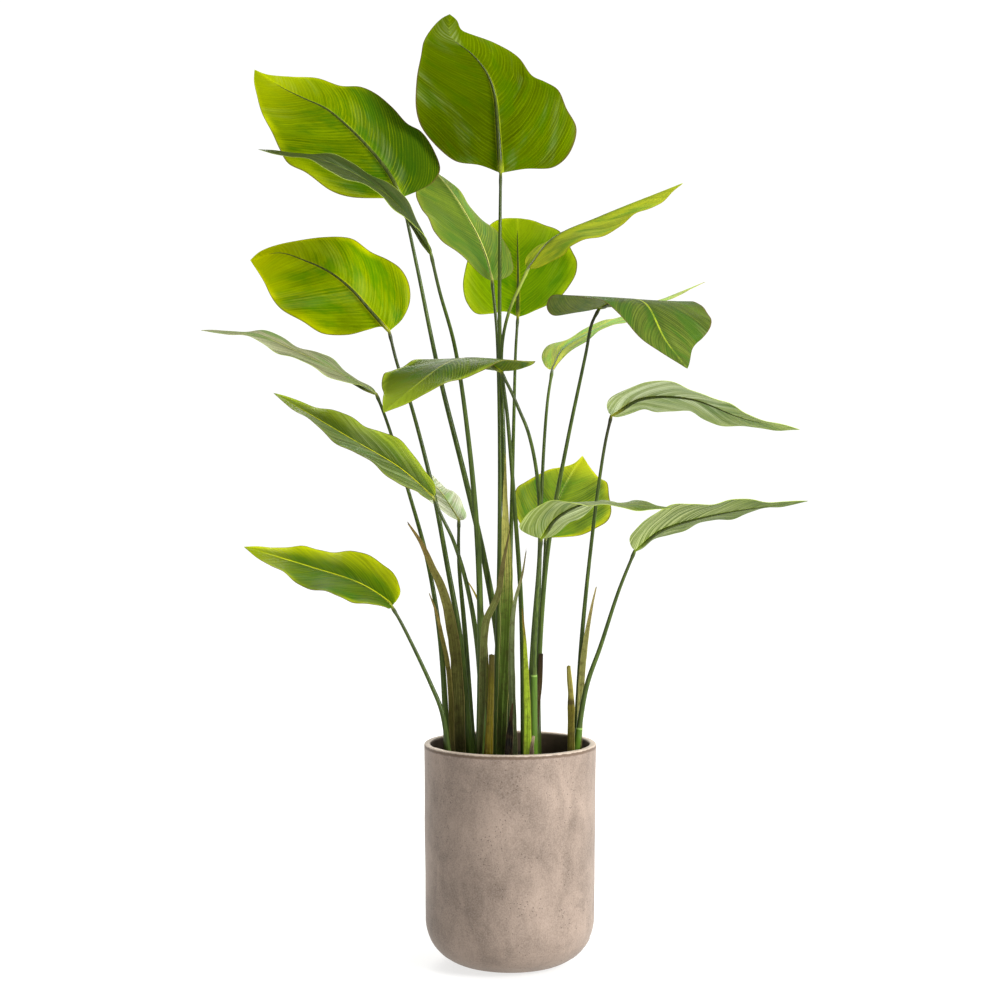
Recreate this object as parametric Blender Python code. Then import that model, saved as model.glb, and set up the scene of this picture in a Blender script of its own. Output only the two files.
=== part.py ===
"""Potted leafy plant: a cast concrete pot, its soil, eighteen long-stalked leaves and their old sheaths.

Lengths in the tables are millimetres, everything else is metres and degrees. +Z is up, +X is the plant's
right and -Y its front. The origin is the centre of the pot's underside.
"""
import math

import bmesh
import bpy
import numpy as np

MM = 0.001

# Pot
POT_HEIGHT = 0.2822
POT_RIM_RADIUS = 0.1103
POT_FOOT_RADIUS = 0.1085
POT_CORNER = 0.058
POT_WALL = 0.0085
POT_FLOOR = 0.012
LIP_ROUND = 0.0018
POT_SIDES = 48

# Soil
SOIL_DROP = 0.0285
SOIL_TOP = POT_HEIGHT - SOIL_DROP
SEAT_GAP = 0.0003
HOLE_CLEARANCE = 0.00045
FOOT_DEPTH = 0.024

# Leaves
BLADE_THICKNESS = 0.0010
RIB_DEPTH = 0.0016
BLADE_ROWS = 16
HALF_COLUMNS = 3
FIRST_ROW = 0.01
LAST_ROW = 0.95
ROW_EASE = 1.2
WAVE_HEIGHT = 0.003
WAVES = 3
WAVE_REACH = 0.04
STALK_SIDES = 6
STALK_RINGS = 12
STALK_START = 0.008
STALK_TOP_RADIUS = 0.0019
STALK_GAIN = 0.0022
FOOT_SWELL = 0.0011
FOOT_SWELL_HEIGHT = 0.08
COLLAR_EDGE = 0.004

# Sheaths
SHEATH_SIDES = 6
SHEATH_RINGS = 9


def clear_scene():
    for item in list(bpy.data.objects):
        bpy.data.objects.remove(item, do_unlink=True)


def material(name, color, roughness):
    """A plain finish: base colour and roughness."""
    made = bpy.data.materials.new(name)
    made.use_nodes = True
    shader = made.node_tree.nodes["Principled BSDF"]
    shader.inputs["Base Color"].default_value = (*color, 1.0)
    shader.inputs["Roughness"].default_value = roughness
    shader.inputs["Metallic"].default_value = 0.0
    return made


def add_object(name, points, faces, finish, sharp_degrees=40):
    """One closed body with its faces turned outward and its round parts shaded smooth."""
    mesh = bpy.data.meshes.new(name)
    mesh.from_pydata([tuple(p) for p in points], [], faces)
    shell = bmesh.new()
    shell.from_mesh(mesh)
    bmesh.ops.recalc_face_normals(shell, faces=shell.faces)
    shell.to_mesh(mesh)
    shell.free()
    mesh.materials.append(finish)
    mesh.shade_smooth()
    mesh.set_sharp_from_angle(angle=math.radians(sharp_degrees))
    made = bpy.data.objects.new(name, mesh)
    bpy.context.scene.collection.objects.link(made)
    return made


def unit(vectors):
    return vectors / np.linalg.norm(vectors, axis=-1, keepdims=True)


def smooth_path(points, stations):
    """A smooth curve through the points, read at stations from 0 to 1 along its length."""
    given = np.asarray(points, float)
    given = np.vstack([2 * given[0] - given[1], given, 2 * given[-1] - given[-2]])
    dense = []
    for i in range(1, len(given) - 2):
        a, b, c, d = given[i - 1:i + 3]
        t1 = math.sqrt(np.linalg.norm(b - a))
        t2 = t1 + math.sqrt(np.linalg.norm(c - b))
        t3 = t2 + math.sqrt(np.linalg.norm(d - c))
        for t in np.linspace(t1, t2, 40, endpoint=False):
            low = (t1 - t) / t1 * a + t / t1 * b
            mid = (t2 - t) / (t2 - t1) * b + (t - t1) / (t2 - t1) * c
            high = (t3 - t) / (t3 - t2) * c + (t - t2) / (t3 - t2) * d
            left = (t2 - t) / t2 * low + t / t2 * mid
            right = (t3 - t) / (t3 - t1) * mid + (t - t1) / (t3 - t1) * high
            dense.append((t2 - t) / (t2 - t1) * left + (t - t1) / (t2 - t1) * right)
    dense.append(given[-2])
    dense = np.array(dense)
    reach = np.r_[0, np.cumsum(np.linalg.norm(np.diff(dense, axis=0), axis=1))]
    where = np.asarray(stations) * reach[-1]
    return np.stack([np.interp(where, reach, dense[:, k]) for k in range(3)], axis=1)


def through_three(values, t):
    """A smooth curve through three values, at the base, the middle and the tip."""
    base, middle, tip = values
    return base * (1 - t) * (1 - 2 * t) + 4 * middle * t * (1 - t) + tip * t * (2 * t - 1)


def zip_loops(first, first_turn, second, second_turn):
    """Triangles between two loops of point numbers, each with its turn from 0 to 1 round the loop."""
    faces = []
    i = j = 0
    while i < len(first) or j < len(second):
        next_first = first_turn[i + 1] if i + 1 < len(first) else (1.0 if i < len(first) else 2.0)
        next_second = second_turn[j + 1] if j + 1 < len(second) else (1.0 if j < len(second) else 2.0)
        a = first[i % len(first)]
        b = second[j % len(second)]
        if next_first <= next_second:
            faces.append((a, first[(i + 1) % len(first)], b))
            i += 1
        else:
            faces.append((a, second[(j + 1) % len(second)], b))
            j += 1
    return faces


def arc(center, radius, start, stop, steps):
    """Points of a round corner in the (radius, height) plane; angles in degrees."""
    turns = np.radians(np.linspace(start, stop, steps + 1))
    return [(center[0] + radius * math.cos(a), center[1] + radius * math.sin(a)) for a in turns]


def turned(profile, sides):
    """A profile of (radius, height) spun about Z; its two ends lie on the axis."""
    points = [(0, 0, profile[0][1])]
    for radius, height in profile[1:-1]:
        for k in range(sides):
            turn = 2 * math.pi * k / sides
            points.append((radius * math.cos(turn), radius * math.sin(turn), height))
    points.append((0, 0, profile[-1][1]))
    last = len(points) - 1
    faces = []
    rings = len(profile) - 2
    for k in range(sides):
        nxt = (k + 1) % sides
        faces.append((0, 1 + k, 1 + nxt))
        for r in range(rings - 1):
            low = 1 + r * sides
            high = low + sides
            faces.append((low + k, high + k, high + nxt, low + nxt))
        top = 1 + (rings - 1) * sides
        faces.append((top + k, last, top + nxt))
    return points, faces


def make_pot():
    """One casting: straight wall, rounded lip, big rounded corner at the foot, flat underside."""
    outer_corner = arc((POT_FOOT_RADIUS - POT_CORNER, POT_CORNER), POT_CORNER, -90, 0, 6)
    inner = POT_RIM_RADIUS - POT_WALL
    round_in = POT_CORNER - POT_WALL
    lip_out = arc((POT_RIM_RADIUS - LIP_ROUND, POT_HEIGHT - LIP_ROUND), LIP_ROUND, 0, 90, 2)
    lip_in = arc((inner + LIP_ROUND, POT_HEIGHT - LIP_ROUND), LIP_ROUND, 90, 180, 2)
    inner_corner = arc((inner - round_in, POT_FLOOR + round_in), round_in, 0, -90, 4)
    profile = [(0, 0)] + outer_corner + lip_out + lip_in + inner_corner + [(0, POT_FLOOR)]
    points, faces = turned(profile, POT_SIDES)
    add_object("pot", points, faces, material("concrete", (0.40, 0.33, 0.27), 0.8))


def blade_frame(leaf, t):
    """Rib points, side vectors, normals and forward vectors of a blade at stations t."""
    rib = smooth_path(np.array(leaf["rib"]) * MM, t)
    forward = unit(np.gradient(rib, axis=0))
    straight = np.array(leaf.get("axis", rib[-1] - rib[0]), float)
    keep = leaf.get("straighten", 0.0)
    forward = unit(forward * (1 - keep) + unit(straight) * keep)
    face = np.array(leaf["face"], float)
    wanted = (1 - t)[:, None] * face[0] + t[:, None] * face[1]
    normal = unit(wanted - (wanted * forward).sum(1, keepdims=True) * forward)
    return rib, np.cross(normal, forward), normal, forward


def half_spread(leaf, half, t):
    """For each station the vector from the rib to the margin of one half of a blade."""
    rib, side, normal, forward = blade_frame(leaf, t)
    if "edge" in leaf:
        margin = [leaf["rib"][0]] + leaf["edge"][half] + [leaf["rib"][-1]]
        return smooth_path(np.array(margin) * MM, t) - rib
    sign = 1 if half == 0 else -1
    widest, taper = leaf["shape"][half]
    before = np.sqrt(np.clip(1 - ((widest - t) / widest) ** 2, 0, 1))
    after = 1 - np.clip((t - widest) / (1 - widest), 0, 1) ** taper
    reach = (leaf["half"][half] * MM * np.where(t < widest, before, after))[:, None]
    fold = np.radians(through_three(leaf["fold"][half], t))[:, None]
    sweep = leaf.get("sweep", (0, 0))[half]
    return reach * (sign * side * np.cos(fold) + normal * np.sin(fold) + forward * sweep)


def half_surface(leaf, half, t, columns):
    """Points of one half of a blade, from rib to margin, row by row."""
    rib, _, normal, _ = blade_frame(leaf, t)
    spread = half_spread(leaf, half, t)
    reach = np.linalg.norm(spread, axis=1)
    wave = WAVE_HEIGHT * np.sin(2 * math.pi * (WAVES * t + 0.3 * half)) * np.minimum(1, reach / WAVE_REACH)
    rows = [rib + spread * v + normal * (wave * v ** 2)[:, None] for v in np.linspace(0, 1, columns + 1)]
    return np.stack(rows, axis=1)


def blade_stations(rows):
    """Rows along the blade from just above its base to near its tip, closer together at the base."""
    return FIRST_ROW + (LAST_ROW - FIRST_ROW) * np.linspace(0, 1, rows) ** ROW_EASE


def stalk_radius(leaf, height):
    """Thin under the blade, thicker downward, swollen at the foot, with a wrapped collar on some."""
    share = np.clip((height - SOIL_TOP) / (leaf["rib"][0][2] * MM - SOIL_TOP), 0, 1)
    swell = FOOT_SWELL * np.exp(-np.maximum(height - SOIL_TOP, 0) / FOOT_SWELL_HEIGHT)
    collar_top, collar = leaf.get("collar", (0, 0))
    wrapped = collar * MM / (1 + np.exp((height - collar_top * MM) / COLLAR_EDGE))
    return STALK_TOP_RADIUS + leaf["stout"] * STALK_GAIN * (1 - share) + swell + wrapped


def carried_frames(path, side):
    """Side and cross vectors carried along a path without twist, starting from the given side vector."""
    forward = unit(np.gradient(path, axis=0))
    sides = []
    current = side
    for direction in forward:
        current = unit(current - current.dot(direction) * direction)
        sides.append(current)
    sides = np.array(sides)
    return sides, np.cross(forward, sides)


def make_leaf(name, leaf, finish):
    """Stalk and blade as the one piece they grew as: foot in the soil, rib along the blade's underside."""
    t = blade_stations(BLADE_ROWS)
    left = half_surface(leaf, 1, t, HALF_COLUMNS)
    right = half_surface(leaf, 0, t, HALF_COLUMNS)
    sheet = np.concatenate([left[:, :0:-1], right], axis=1)
    along = np.gradient(sheet, axis=0)
    across = np.gradient(sheet, axis=1)
    up = unit(np.cross(along, across))
    count = 2 * HALF_COLUMNS + 1
    depth = np.full((BLADE_ROWS, count), BLADE_THICKNESS / 2)
    depth[:, HALF_COLUMNS] += RIB_DEPTH * (1 - t)
    top = sheet + up * BLADE_THICKNESS / 2
    bottom = sheet - up * depth[..., None]

    base = np.array(leaf["rib"][0]) * MM
    foot = np.array([*leaf["foot"], 0.0]) * MM
    foot[2] = SOIL_TOP + 0.006
    route = [base] + [np.array(p) * MM for p in leaf["stalk"]] + [foot]
    path = smooth_path(route, np.linspace(STALK_START, 1, STALK_RINGS))
    path = np.vstack([path, foot - [0, 0, 0.006 + FOOT_DEPTH - SEAT_GAP]])
    _, side, normal, _ = blade_frame(leaf, np.array([0.0, 0.02]))
    sides, crosses = carried_frames(path, side[0])
    if crosses[0].dot(normal[0]) < 0:
        crosses = -crosses
    for k in (-2, -1):
        sides[k] = unit(sides[k] * [1, 1, 0])
        crosses[k] = unit(crosses[k] * [1, 1, 0] - sides[k] * sides[k].dot(crosses[k] * [1, 1, 0]))
    radius = stalk_radius(leaf, path[:, 2])

    points = []
    rings = []
    for k in range(len(path)):
        ring = []
        for n in range(STALK_SIDES):
            turn = math.pi - 2 * math.pi * n / STALK_SIDES
            ring.append(len(points))
            points.append(path[k] + radius[k] * (sides[k] * math.cos(turn) + crosses[k] * math.sin(turn)))
        rings.append(ring)
    top_index = np.arange(BLADE_ROWS * count).reshape(BLADE_ROWS, count) + len(points)
    points.extend(top.reshape(-1, 3))
    bottom_index = top_index + BLADE_ROWS * count
    points.extend(bottom.reshape(-1, 3))
    apex = len(points)
    points.append(np.array(leaf["rib"][-1]) * MM)

    faces = [tuple(rings[-1])]
    for upper, lower in zip(rings, rings[1:]):
        for n in range(STALK_SIDES):
            m = (n + 1) % STALK_SIDES
            faces.append((upper[n], upper[m], lower[m], lower[n]))
    collar = list(top_index[0]) + list(bottom_index[0][::-1])
    turns = np.concatenate([np.linspace(0, 0.5, count), np.linspace(0.5, 1, count)])
    turns[count] += 1e-6
    turns[-1] -= 1e-6
    stalk_turns = np.arange(STALK_SIDES) / STALK_SIDES
    faces += zip_loops(rings[0], stalk_turns, collar, turns)
    for r in range(BLADE_ROWS - 1):
        for c in range(count - 1):
            for index in (top_index, bottom_index):
                a, b = index[r][c], index[r][c + 1]
                d, e = index[r + 1][c], index[r + 1][c + 1]
                if c < HALF_COLUMNS:
                    faces += [(a, b, d), (b, e, d)]
                else:
                    faces += [(a, b, e), (a, e, d)]
        for c in (0, count - 1):
            faces += [(top_index[r][c], top_index[r + 1][c], bottom_index[r + 1][c]),
                      (top_index[r][c], bottom_index[r + 1][c], bottom_index[r][c])]
    rim = list(top_index[-1]) + list(bottom_index[-1][::-1])
    for n in range(len(rim)):
        faces.append((rim[n], rim[(n + 1) % len(rim)], apex))
    faces = [tuple(int(v) for v in face) for face in faces]
    add_object(name, points, faces, finish, 50)
    return hole_outline(path[-1], radius[-1], radius[-1], sides[-1], crosses[-1], STALK_SIDES)


def make_sheath(name, sheath, finish):
    """A flat, slightly bent strip on its path, from its foot in the soil to a point or a cut end."""
    foot = np.array([*sheath["foot"], 0.0]) * MM
    foot[2] = SOIL_TOP + 0.006
    route = [np.array(p) * MM for p in sheath["path"]] + [foot]
    stations = np.linspace(0, 1, SHEATH_RINGS)
    path = smooth_path(route, stations)
    path = np.vstack([path, foot - [0, 0, 0.006 + FOOT_DEPTH - SEAT_GAP]])
    sides, crosses = carried_frames(path, np.array([1.0, 0.0, 0.0]))
    for k in (-2, -1):
        sides[k] = unit(sides[k] * [1, 1, 0])
        crosses[k] = np.cross([0, 0, -1.0], sides[k])
    stations = np.append(stations, 1.0)
    width = np.interp(stations, np.linspace(0, 1, len(sheath["width"])), sheath["width"]) * MM / 2
    thick = np.minimum(width, sheath["thick"] * MM / 2)
    points = []
    faces = []
    rings = []
    for k in range(len(path)):
        ring = []
        for n in range(SHEATH_SIDES):
            turn = 2 * math.pi * n / SHEATH_SIDES
            ring.append(len(points))
            points.append(path[k] + sides[k] * width[k] * math.cos(turn)
                          + crosses[k] * thick[k] * math.sin(turn))
        rings.append(ring)
    faces.append(tuple(rings[0]))
    faces.append(tuple(rings[-1]))
    for upper, lower in zip(rings, rings[1:]):
        for n in range(SHEATH_SIDES):
            m = (n + 1) % SHEATH_SIDES
            faces.append((upper[n], upper[m], lower[m], lower[n]))
    add_object(name, points, faces, finish, 50)
    return hole_outline(path[-1], width[-1], thick[-1], sides[-1], crosses[-1], SHEATH_SIDES)


def hole_outline(center, wide, thick, side, cross, sides):
    """Corners, at the hole's floor, of the plain hole that a foot stands in."""
    corners = []
    for n in range(sides):
        turn = 2 * math.pi * n / sides
        corners.append(center - [0, 0, SEAT_GAP] + side * (wide + HOLE_CLEARANCE) * math.cos(turn)
                       + cross * (thick + HOLE_CLEARANCE) * math.sin(turn))
    return corners


def make_soil(holes):
    """The fill: it follows the pot's inside, with a plain hole for each foot."""
    radius = POT_RIM_RADIUS - POT_WALL - SEAT_GAP
    round_in = POT_CORNER - POT_WALL
    floor = POT_FLOOR + SEAT_GAP
    corner = arc((radius - round_in, floor + round_in), round_in, -90, 0, 4)
    points, faces = turned([(0, floor)] + corner + [(radius, SOIL_TOP), (0, SOIL_TOP)], POT_SIDES)
    soil = add_object("soil", points, faces, material("soil", (0.035, 0.026, 0.02), 0.95))
    cutters = bpy.data.collections.new("holes")
    bpy.context.scene.collection.children.link(cutters)
    for k, corners in enumerate(holes):
        count = len(corners)
        rise = FOOT_DEPTH + 0.01
        points = list(corners) + [c + [0, 0, rise] for c in corners]
        faces = [tuple(range(count)), tuple(range(count, 2 * count))]
        faces += [(n, (n + 1) % count, count + (n + 1) % count, count + n) for n in range(count)]
        cutter = add_object(f"hole_{k:02d}", points, faces, soil.data.materials[0])
        bpy.context.scene.collection.objects.unlink(cutter)
        cutters.objects.link(cutter)
    cut = soil.modifiers.new("holes", "BOOLEAN")
    cut.operation = "DIFFERENCE"
    cut.operand_type = "COLLECTION"
    cut.collection = cutters
    bpy.context.view_layer.update()
    shape = soil.evaluated_get(bpy.context.evaluated_depsgraph_get())
    drilled = bpy.data.meshes.new_from_object(shape)
    soil.modifiers.clear()
    soil.data = drilled
    for cutter in list(cutters.objects):
        bpy.data.objects.remove(cutter, do_unlink=True)
    bpy.data.collections.remove(cutters)


# Each leaf: how stout its stalk is, the rib's points from the blade's base to its tip, the stalk's points
# from the blade down, the foot's place in the soil, and the direction that the upper face looks in at the
# base and at the tip. Then for the two halves (left-hand half first, as seen from the stalk with the upper
# face up) either the points of the margin from base to tip, or the half width, the fold up from the flat
# in degrees at base, middle and tip, and the shape: where along the rib it is widest, and how full it
# stays toward the tip. A collar is given by its top and by how far it stands out.
LEAVES = {
    "leaf_01": dict(
        stout=1.2,
        rib=[(-12, 10, 1009), (-15, 5, 1058), (-20, -8, 1107), (-29, -14, 1131), (-46, -22, 1152),
             (-75, -38, 1174), (-75, -60, 1196)],
        stalk=[(-13, 8, 911), (-13, 10, 790), (-9, 0, 682), (-6, -5, 516)], foot=(-8, -10),
        face=[(0, 1, 0.1), (0.1, 1, 0.3)],
        edge=([(19, 14, 1015), (56, 20, 1018), (76, 21, 1036), (85, 20, 1067), (72, 12, 1091),
               (61, 5, 1114), (44, 2, 1124), (28, -1, 1131), (11, -7, 1152), (-18, -16, 1168),
               (-48, -27, 1178), (-61, -35, 1183), (-66, -47, 1191)],
              [(-37, 13, 1019), (-69, 17, 1025), (-91, 19, 1041), (-111, 17, 1065), (-119, -4, 1088),
               (-118, -18, 1120), (-112, -26, 1152), (-108, -40, 1168), (-97, -50, 1181),
               (-85, -57, 1191)])),
    "leaf_02": dict(
        stout=1.5,
        rib=[(-137, 0, 977), (-154, -2, 1008), (-178, -5, 1038), (-207, -10, 1067), (-232, -14, 1087),
             (-261, -17, 1100), (-288, -20, 1113), (-321, -25, 1134)],
        stalk=[(-115, 4, 873), (-101, 8, 803), (-87, 13, 738), (-57, 22, 618), (-33, 28, 514),
               (-14, 32, 397)], foot=(-10, 32),
        face=[(0, 1, 0), (0, 1, 0)],
        edge=([(-116, 15, 988), (-99, 29, 1000), (-90, 38, 1017), (-97, 41, 1040), (-114, 40, 1066),
               (-132, 34, 1076), (-150, 31, 1095), (-171, 28, 1112), (-191, 21, 1120), (-216, 10, 1120),
               (-245, 5, 1129), (-277, -8, 1128), (-307, -21, 1129)],
              [(-164, 1, 976), (-204, 3, 978), (-228, 2, 986), (-259, -2, 1008), (-281, -8, 1019),
               (-292, -11, 1038), (-300, -14, 1056), (-313, -17, 1081), (-319, -21, 1104),
               (-322, -23, 1120)])),
    "leaf_03": dict(
        stout=1.4,
        rib=[(-97, -110, 896), (-128, -112, 944), (-164, -115, 977), (-225, -120, 1007),
             (-306, -120, 1021)],
        stalk=[(-87, -96, 852), (-69, -72, 786), (-52, -58, 669), (-41, -54, 545), (-37, -46, 418)],
        foot=(-38, -38),
        face=[(0.6, -0.3, 0.8), (0.3, -0.2, 0.9)], half=(72, 72), fold=((22, 3, 0), (-12, 0, 0)),
        shape=((0.36, 1.6), (0.36, 1.6))),
    "leaf_04": dict(
        stout=0.9,
        rib=[(-23, 30, 874), (-31, 38, 906), (-47, 55, 944), (-92, 88, 1014), (-145, 118, 1056)],
        stalk=[(-17, 24, 810), (-14, 20, 720), (-13, 16, 592), (-15, 14, 438)], foot=(-21, 14),
        face=[(0.7, -0.3, 0.5), (0.8, -0.1, 0.6)], half=(66, 56), fold=((-10, -36, -30), (25, 8, 10)),
        shape=((0.4, 1.5), (0.2, 1.3))),
    "leaf_05": dict(
        stout=0.8,
        rib=[(12, 248, 840), (12, 208, 897), (11, 171, 937), (10, 140, 966)],
        stalk=[(9, 236, 794), (6, 182, 696), (3, 120, 588), (0, 80, 457)], foot=(0, 50),
        face=[(0, 0.8, 0.6), (0, 0.8, 0.5)],
        edge=([(29, 246, 845), (57, 241, 859), (77, 233, 875), (91, 221, 894), (93, 208, 913),
               (82, 185, 934), (71, 169, 947), (55, 158, 955), (32, 145, 964)],
              [(-7, 246, 848), (-25, 249, 846), (-47, 253, 846), (-59, 245, 858), (-64, 231, 879),
               (-62, 216, 900), (-54, 197, 922), (-40, 174, 941), (-29, 155, 957), (-17, 146, 964)])),
    "leaf_06": dict(
        stout=0.8,
        rib=[(23, -20, 886), (53, -20, 923), (113, -20, 951), (219, -10, 994)],
        stalk=[(-3, -20, 826), (-11, -20, 774), (-3, -20, 694), (6, -20, 581), (14, -20, 459)],
        foot=(18, -15),
        face=[(-0.4, 0, 0.9), (-0.4, -0.1, 0.9)], half=(68, 68), fold=((14, -5, -5), (-28, -20, -20)),
        shape=((0.2, 1.5), (0.4, 1.8))),
    "leaf_07": dict(
        stout=0.9,
        rib=[(113, -20, 836), (133, -80, 842), (162, -150, 832), (183, -190, 786), (207, -205, 753)],
        stalk=[(103, -20, 816), (96, -18, 780), (73, -12, 669), (50, -5, 542), (40, 0, 439)],
        foot=(32, 0),
        face=[(-0.1, 0.1, 1), (0.1, -0.6, 0.7)], half=(87, 95), fold=((0, -10, -15), (-14, 10, 8)),
        shape=((0.5, 2.5), (0.3, 1.2))),
    "leaf_08": dict(
        stout=0.6,
        rib=[(56, 90, 761), (70, 95, 788), (107, 110, 812), (174, 125, 844), (263, 140, 881)],
        stalk=[(50, 88, 722), (44, 82, 643), (40, 72, 531), (37, 60, 408)], foot=(37, 45),
        face=[(-0.5, 0, 0.85), (-0.4, 0, 0.9)], half=(54, 55), fold=((20, 5, -4), (-5, -9, -5)),
        shape=((0.2, 1.5), (0.36, 1.6))),
    "leaf_09": dict(
        stout=1.2,
        rib=[(-155, 20, 808), (-179, 15, 835), (-203, 8, 862), (-230, 3, 883), (-261, -3, 897),
             (-292, -10, 906), (-328, -20, 896)],
        stalk=[(-145, 20, 768), (-127, 20, 714), (-99, 18, 605), (-81, 15, 511), (-64, 10, 413)],
        foot=(-51, 5),
        face=[(0, 1, 0), (0, 1, 0)],
        edge=([(-138, 29, 825), (-129, 37, 848), (-131, 40, 872), (-141, 38, 890), (-157, 32, 901),
               (-179, 27, 911), (-200, 24, 926), (-213, 22, 929), (-240, 13, 928), (-269, 3, 923),
               (-297, -6, 916), (-317, -13, 907)],
              [(-164, 19, 814), (-184, 22, 810), (-209, 26, 804), (-241, 28, 806), (-266, 22, 821),
               (-292, 11, 836), (-304, -5, 852), (-315, -12, 875)])),
    "leaf_10": dict(
        stout=0.9,
        rib=[(-171, 8, 728), (-201, 2, 745), (-239, -3, 766), (-279, -6, 785), (-315, -9, 800),
             (-392, -15, 808)],
        stalk=[(-164, 14, 710), (-153, 24, 677), (-131, 26, 604), (-106, 8, 516), (-89, -4, 414)],
        foot=(-79, -12),
        face=[(0.3, -0.1, 0.95), (0.2, -0.1, 0.95)], half=(60, 60), fold=((5, -5, 3), (4, 4, 4)),
        shape=((0.36, 1.6), (0.36, 1.6))),
    "leaf_11": dict(
        stout=0.8,
        rib=[(-12, -90, 754), (-37, -130, 768), (-74, -180, 761), (-115, -225, 729), (-147, -245, 701)],
        stalk=[(0, -88, 731), (11, -85, 706), (22, -82, 679), (33, -74, 626), (37, -62, 545),
               (29, -42, 418)], foot=(21, -33),
        face=[(0.1, 0.1, 1), (-0.2, -0.6, 0.7)], half=(80, 82), fold=((0, 2, 5), (0, -10, -15)),
        shape=((0.3, 1.2), (0.5, 2.2))),
    "leaf_12": dict(
        stout=1.2,
        rib=[(-96, -40, 596), (-138, -45, 633), (-200, -50, 671), (-296, -50, 728)],
        stalk=[(-87, -40, 575), (-72, -40, 544), (-56, -38, 493), (-42, -33, 416)], foot=(-31, -25),
        face=[(0.5, -0.3, 0.8), (0.4, -0.3, 0.85)], half=(62, 68), fold=((4, 7, 6), (5, 5, 5)),
        shape=((0.36, 1.6), (0.36, 1.6))),
    "leaf_13": dict(
        stout=1.3,
        rib=[(-66, 30, 566), (-91, 70, 601), (-120, 130, 626), (-149, 180, 648)],
        stalk=[(-66, 28, 514), (-58, 24, 420)], foot=(-48, 20),
        face=[(0.5, -0.4, 0.7), (0.4, -0.3, 0.85)], half=(40, 28), fold=((0, 0, 0), (0, 0, 0)),
        shape=((0.36, 1.6), (0.22, 1.5))),
    "leaf_14": dict(
        stout=1.0, collar=(376, 0.9),
        rib=[(38, -95, 548), (55, -105, 574), (91, -120, 593), (132, -135, 592), (194, -155, 587)],
        stalk=[(34, -82, 496), (30, -62, 395)], foot=(29, -50),
        face=[(-0.5, 0.4, 0.7), (0, -0.2, 1)], half=(60, 70), fold=((0, 0, 0), (8, 0, 0)),
        shape=((0.3, 1.6), (0.22, 1.5))),
    "leaf_15": dict(
        stout=0.8,
        rib=[(48, 111, 538), (59, 142, 570), (74, 179, 603), (102, 239, 647)],
        stalk=[(44, 98, 470), (37, 80, 353)], foot=(34, 62),
        face=[(0, -0.8, 0.6), (0, -0.4, 0.9)],
        edge=([(32, 112, 541), (18, 120, 552), (10, 134, 568), (7, 149, 584), (9, 169, 600),
               (19, 184, 612), (38, 198, 621), (68, 214, 630), (90, 226, 637)],
              [(82, 111, 542), (111, 114, 548), (130, 123, 559), (137, 139, 575), (135, 160, 593),
               (133, 182, 609), (121, 200, 621), (110, 220, 634)])),
    "leaf_16": dict(
        stout=0.6,
        rib=[(129, 0, 700), (165, -10, 722), (227, -20, 722), (296, -30, 696), (364, -40, 682)],
        stalk=[(122, 0, 669), (115, 2, 625), (106, 5, 554), (92, 10, 413)], foot=(84, 18),
        face=[(-0.2, 0.35, 0.93), (0.2, 0.3, 0.93)], half=(65, 65), fold=((0, 3, 8), (3, -8, -2)),
        shape=((0.5, 1.6), (0.3, 1.2))),
    "leaf_17": dict(
        stout=0.7, collar=(303, 0.7),
        rib=[(158, -20, 529), (189, -25, 555), (254, -35, 575), (373, -50, 593)],
        stalk=[(138, -20, 479), (115, -18, 408), (97, -16, 355)], foot=(82, -10),
        face=[(-0.3, 0.25, 0.93), (-0.1, 0.2, 0.97)], half=(60, 62), fold=((2, 1, 4), (12, 8, 3)),
        shape=((0.36, 1.6), (0.25, 1.6))),
    "leaf_18": dict(
        stout=0.5,
        rib=[(-150, -20, 458), (-155, -21, 464), (-190, -25, 487), (-253, -30, 509), (-335, -40, 535)],
        stalk=[(-140, -20, 441), (-127, -22, 416), (-101, -29, 362), (-86, -33, 325)],
        foot=(-76, -36),
        face=[(0.3, -0.4, 0.85), (0.25, -0.4, 0.85)], half=(60, 62), fold=((13, 3, 3), (15, 5, 5)),
        shape=((0.36, 1.9), (0.2, 1.6))),
}

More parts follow.
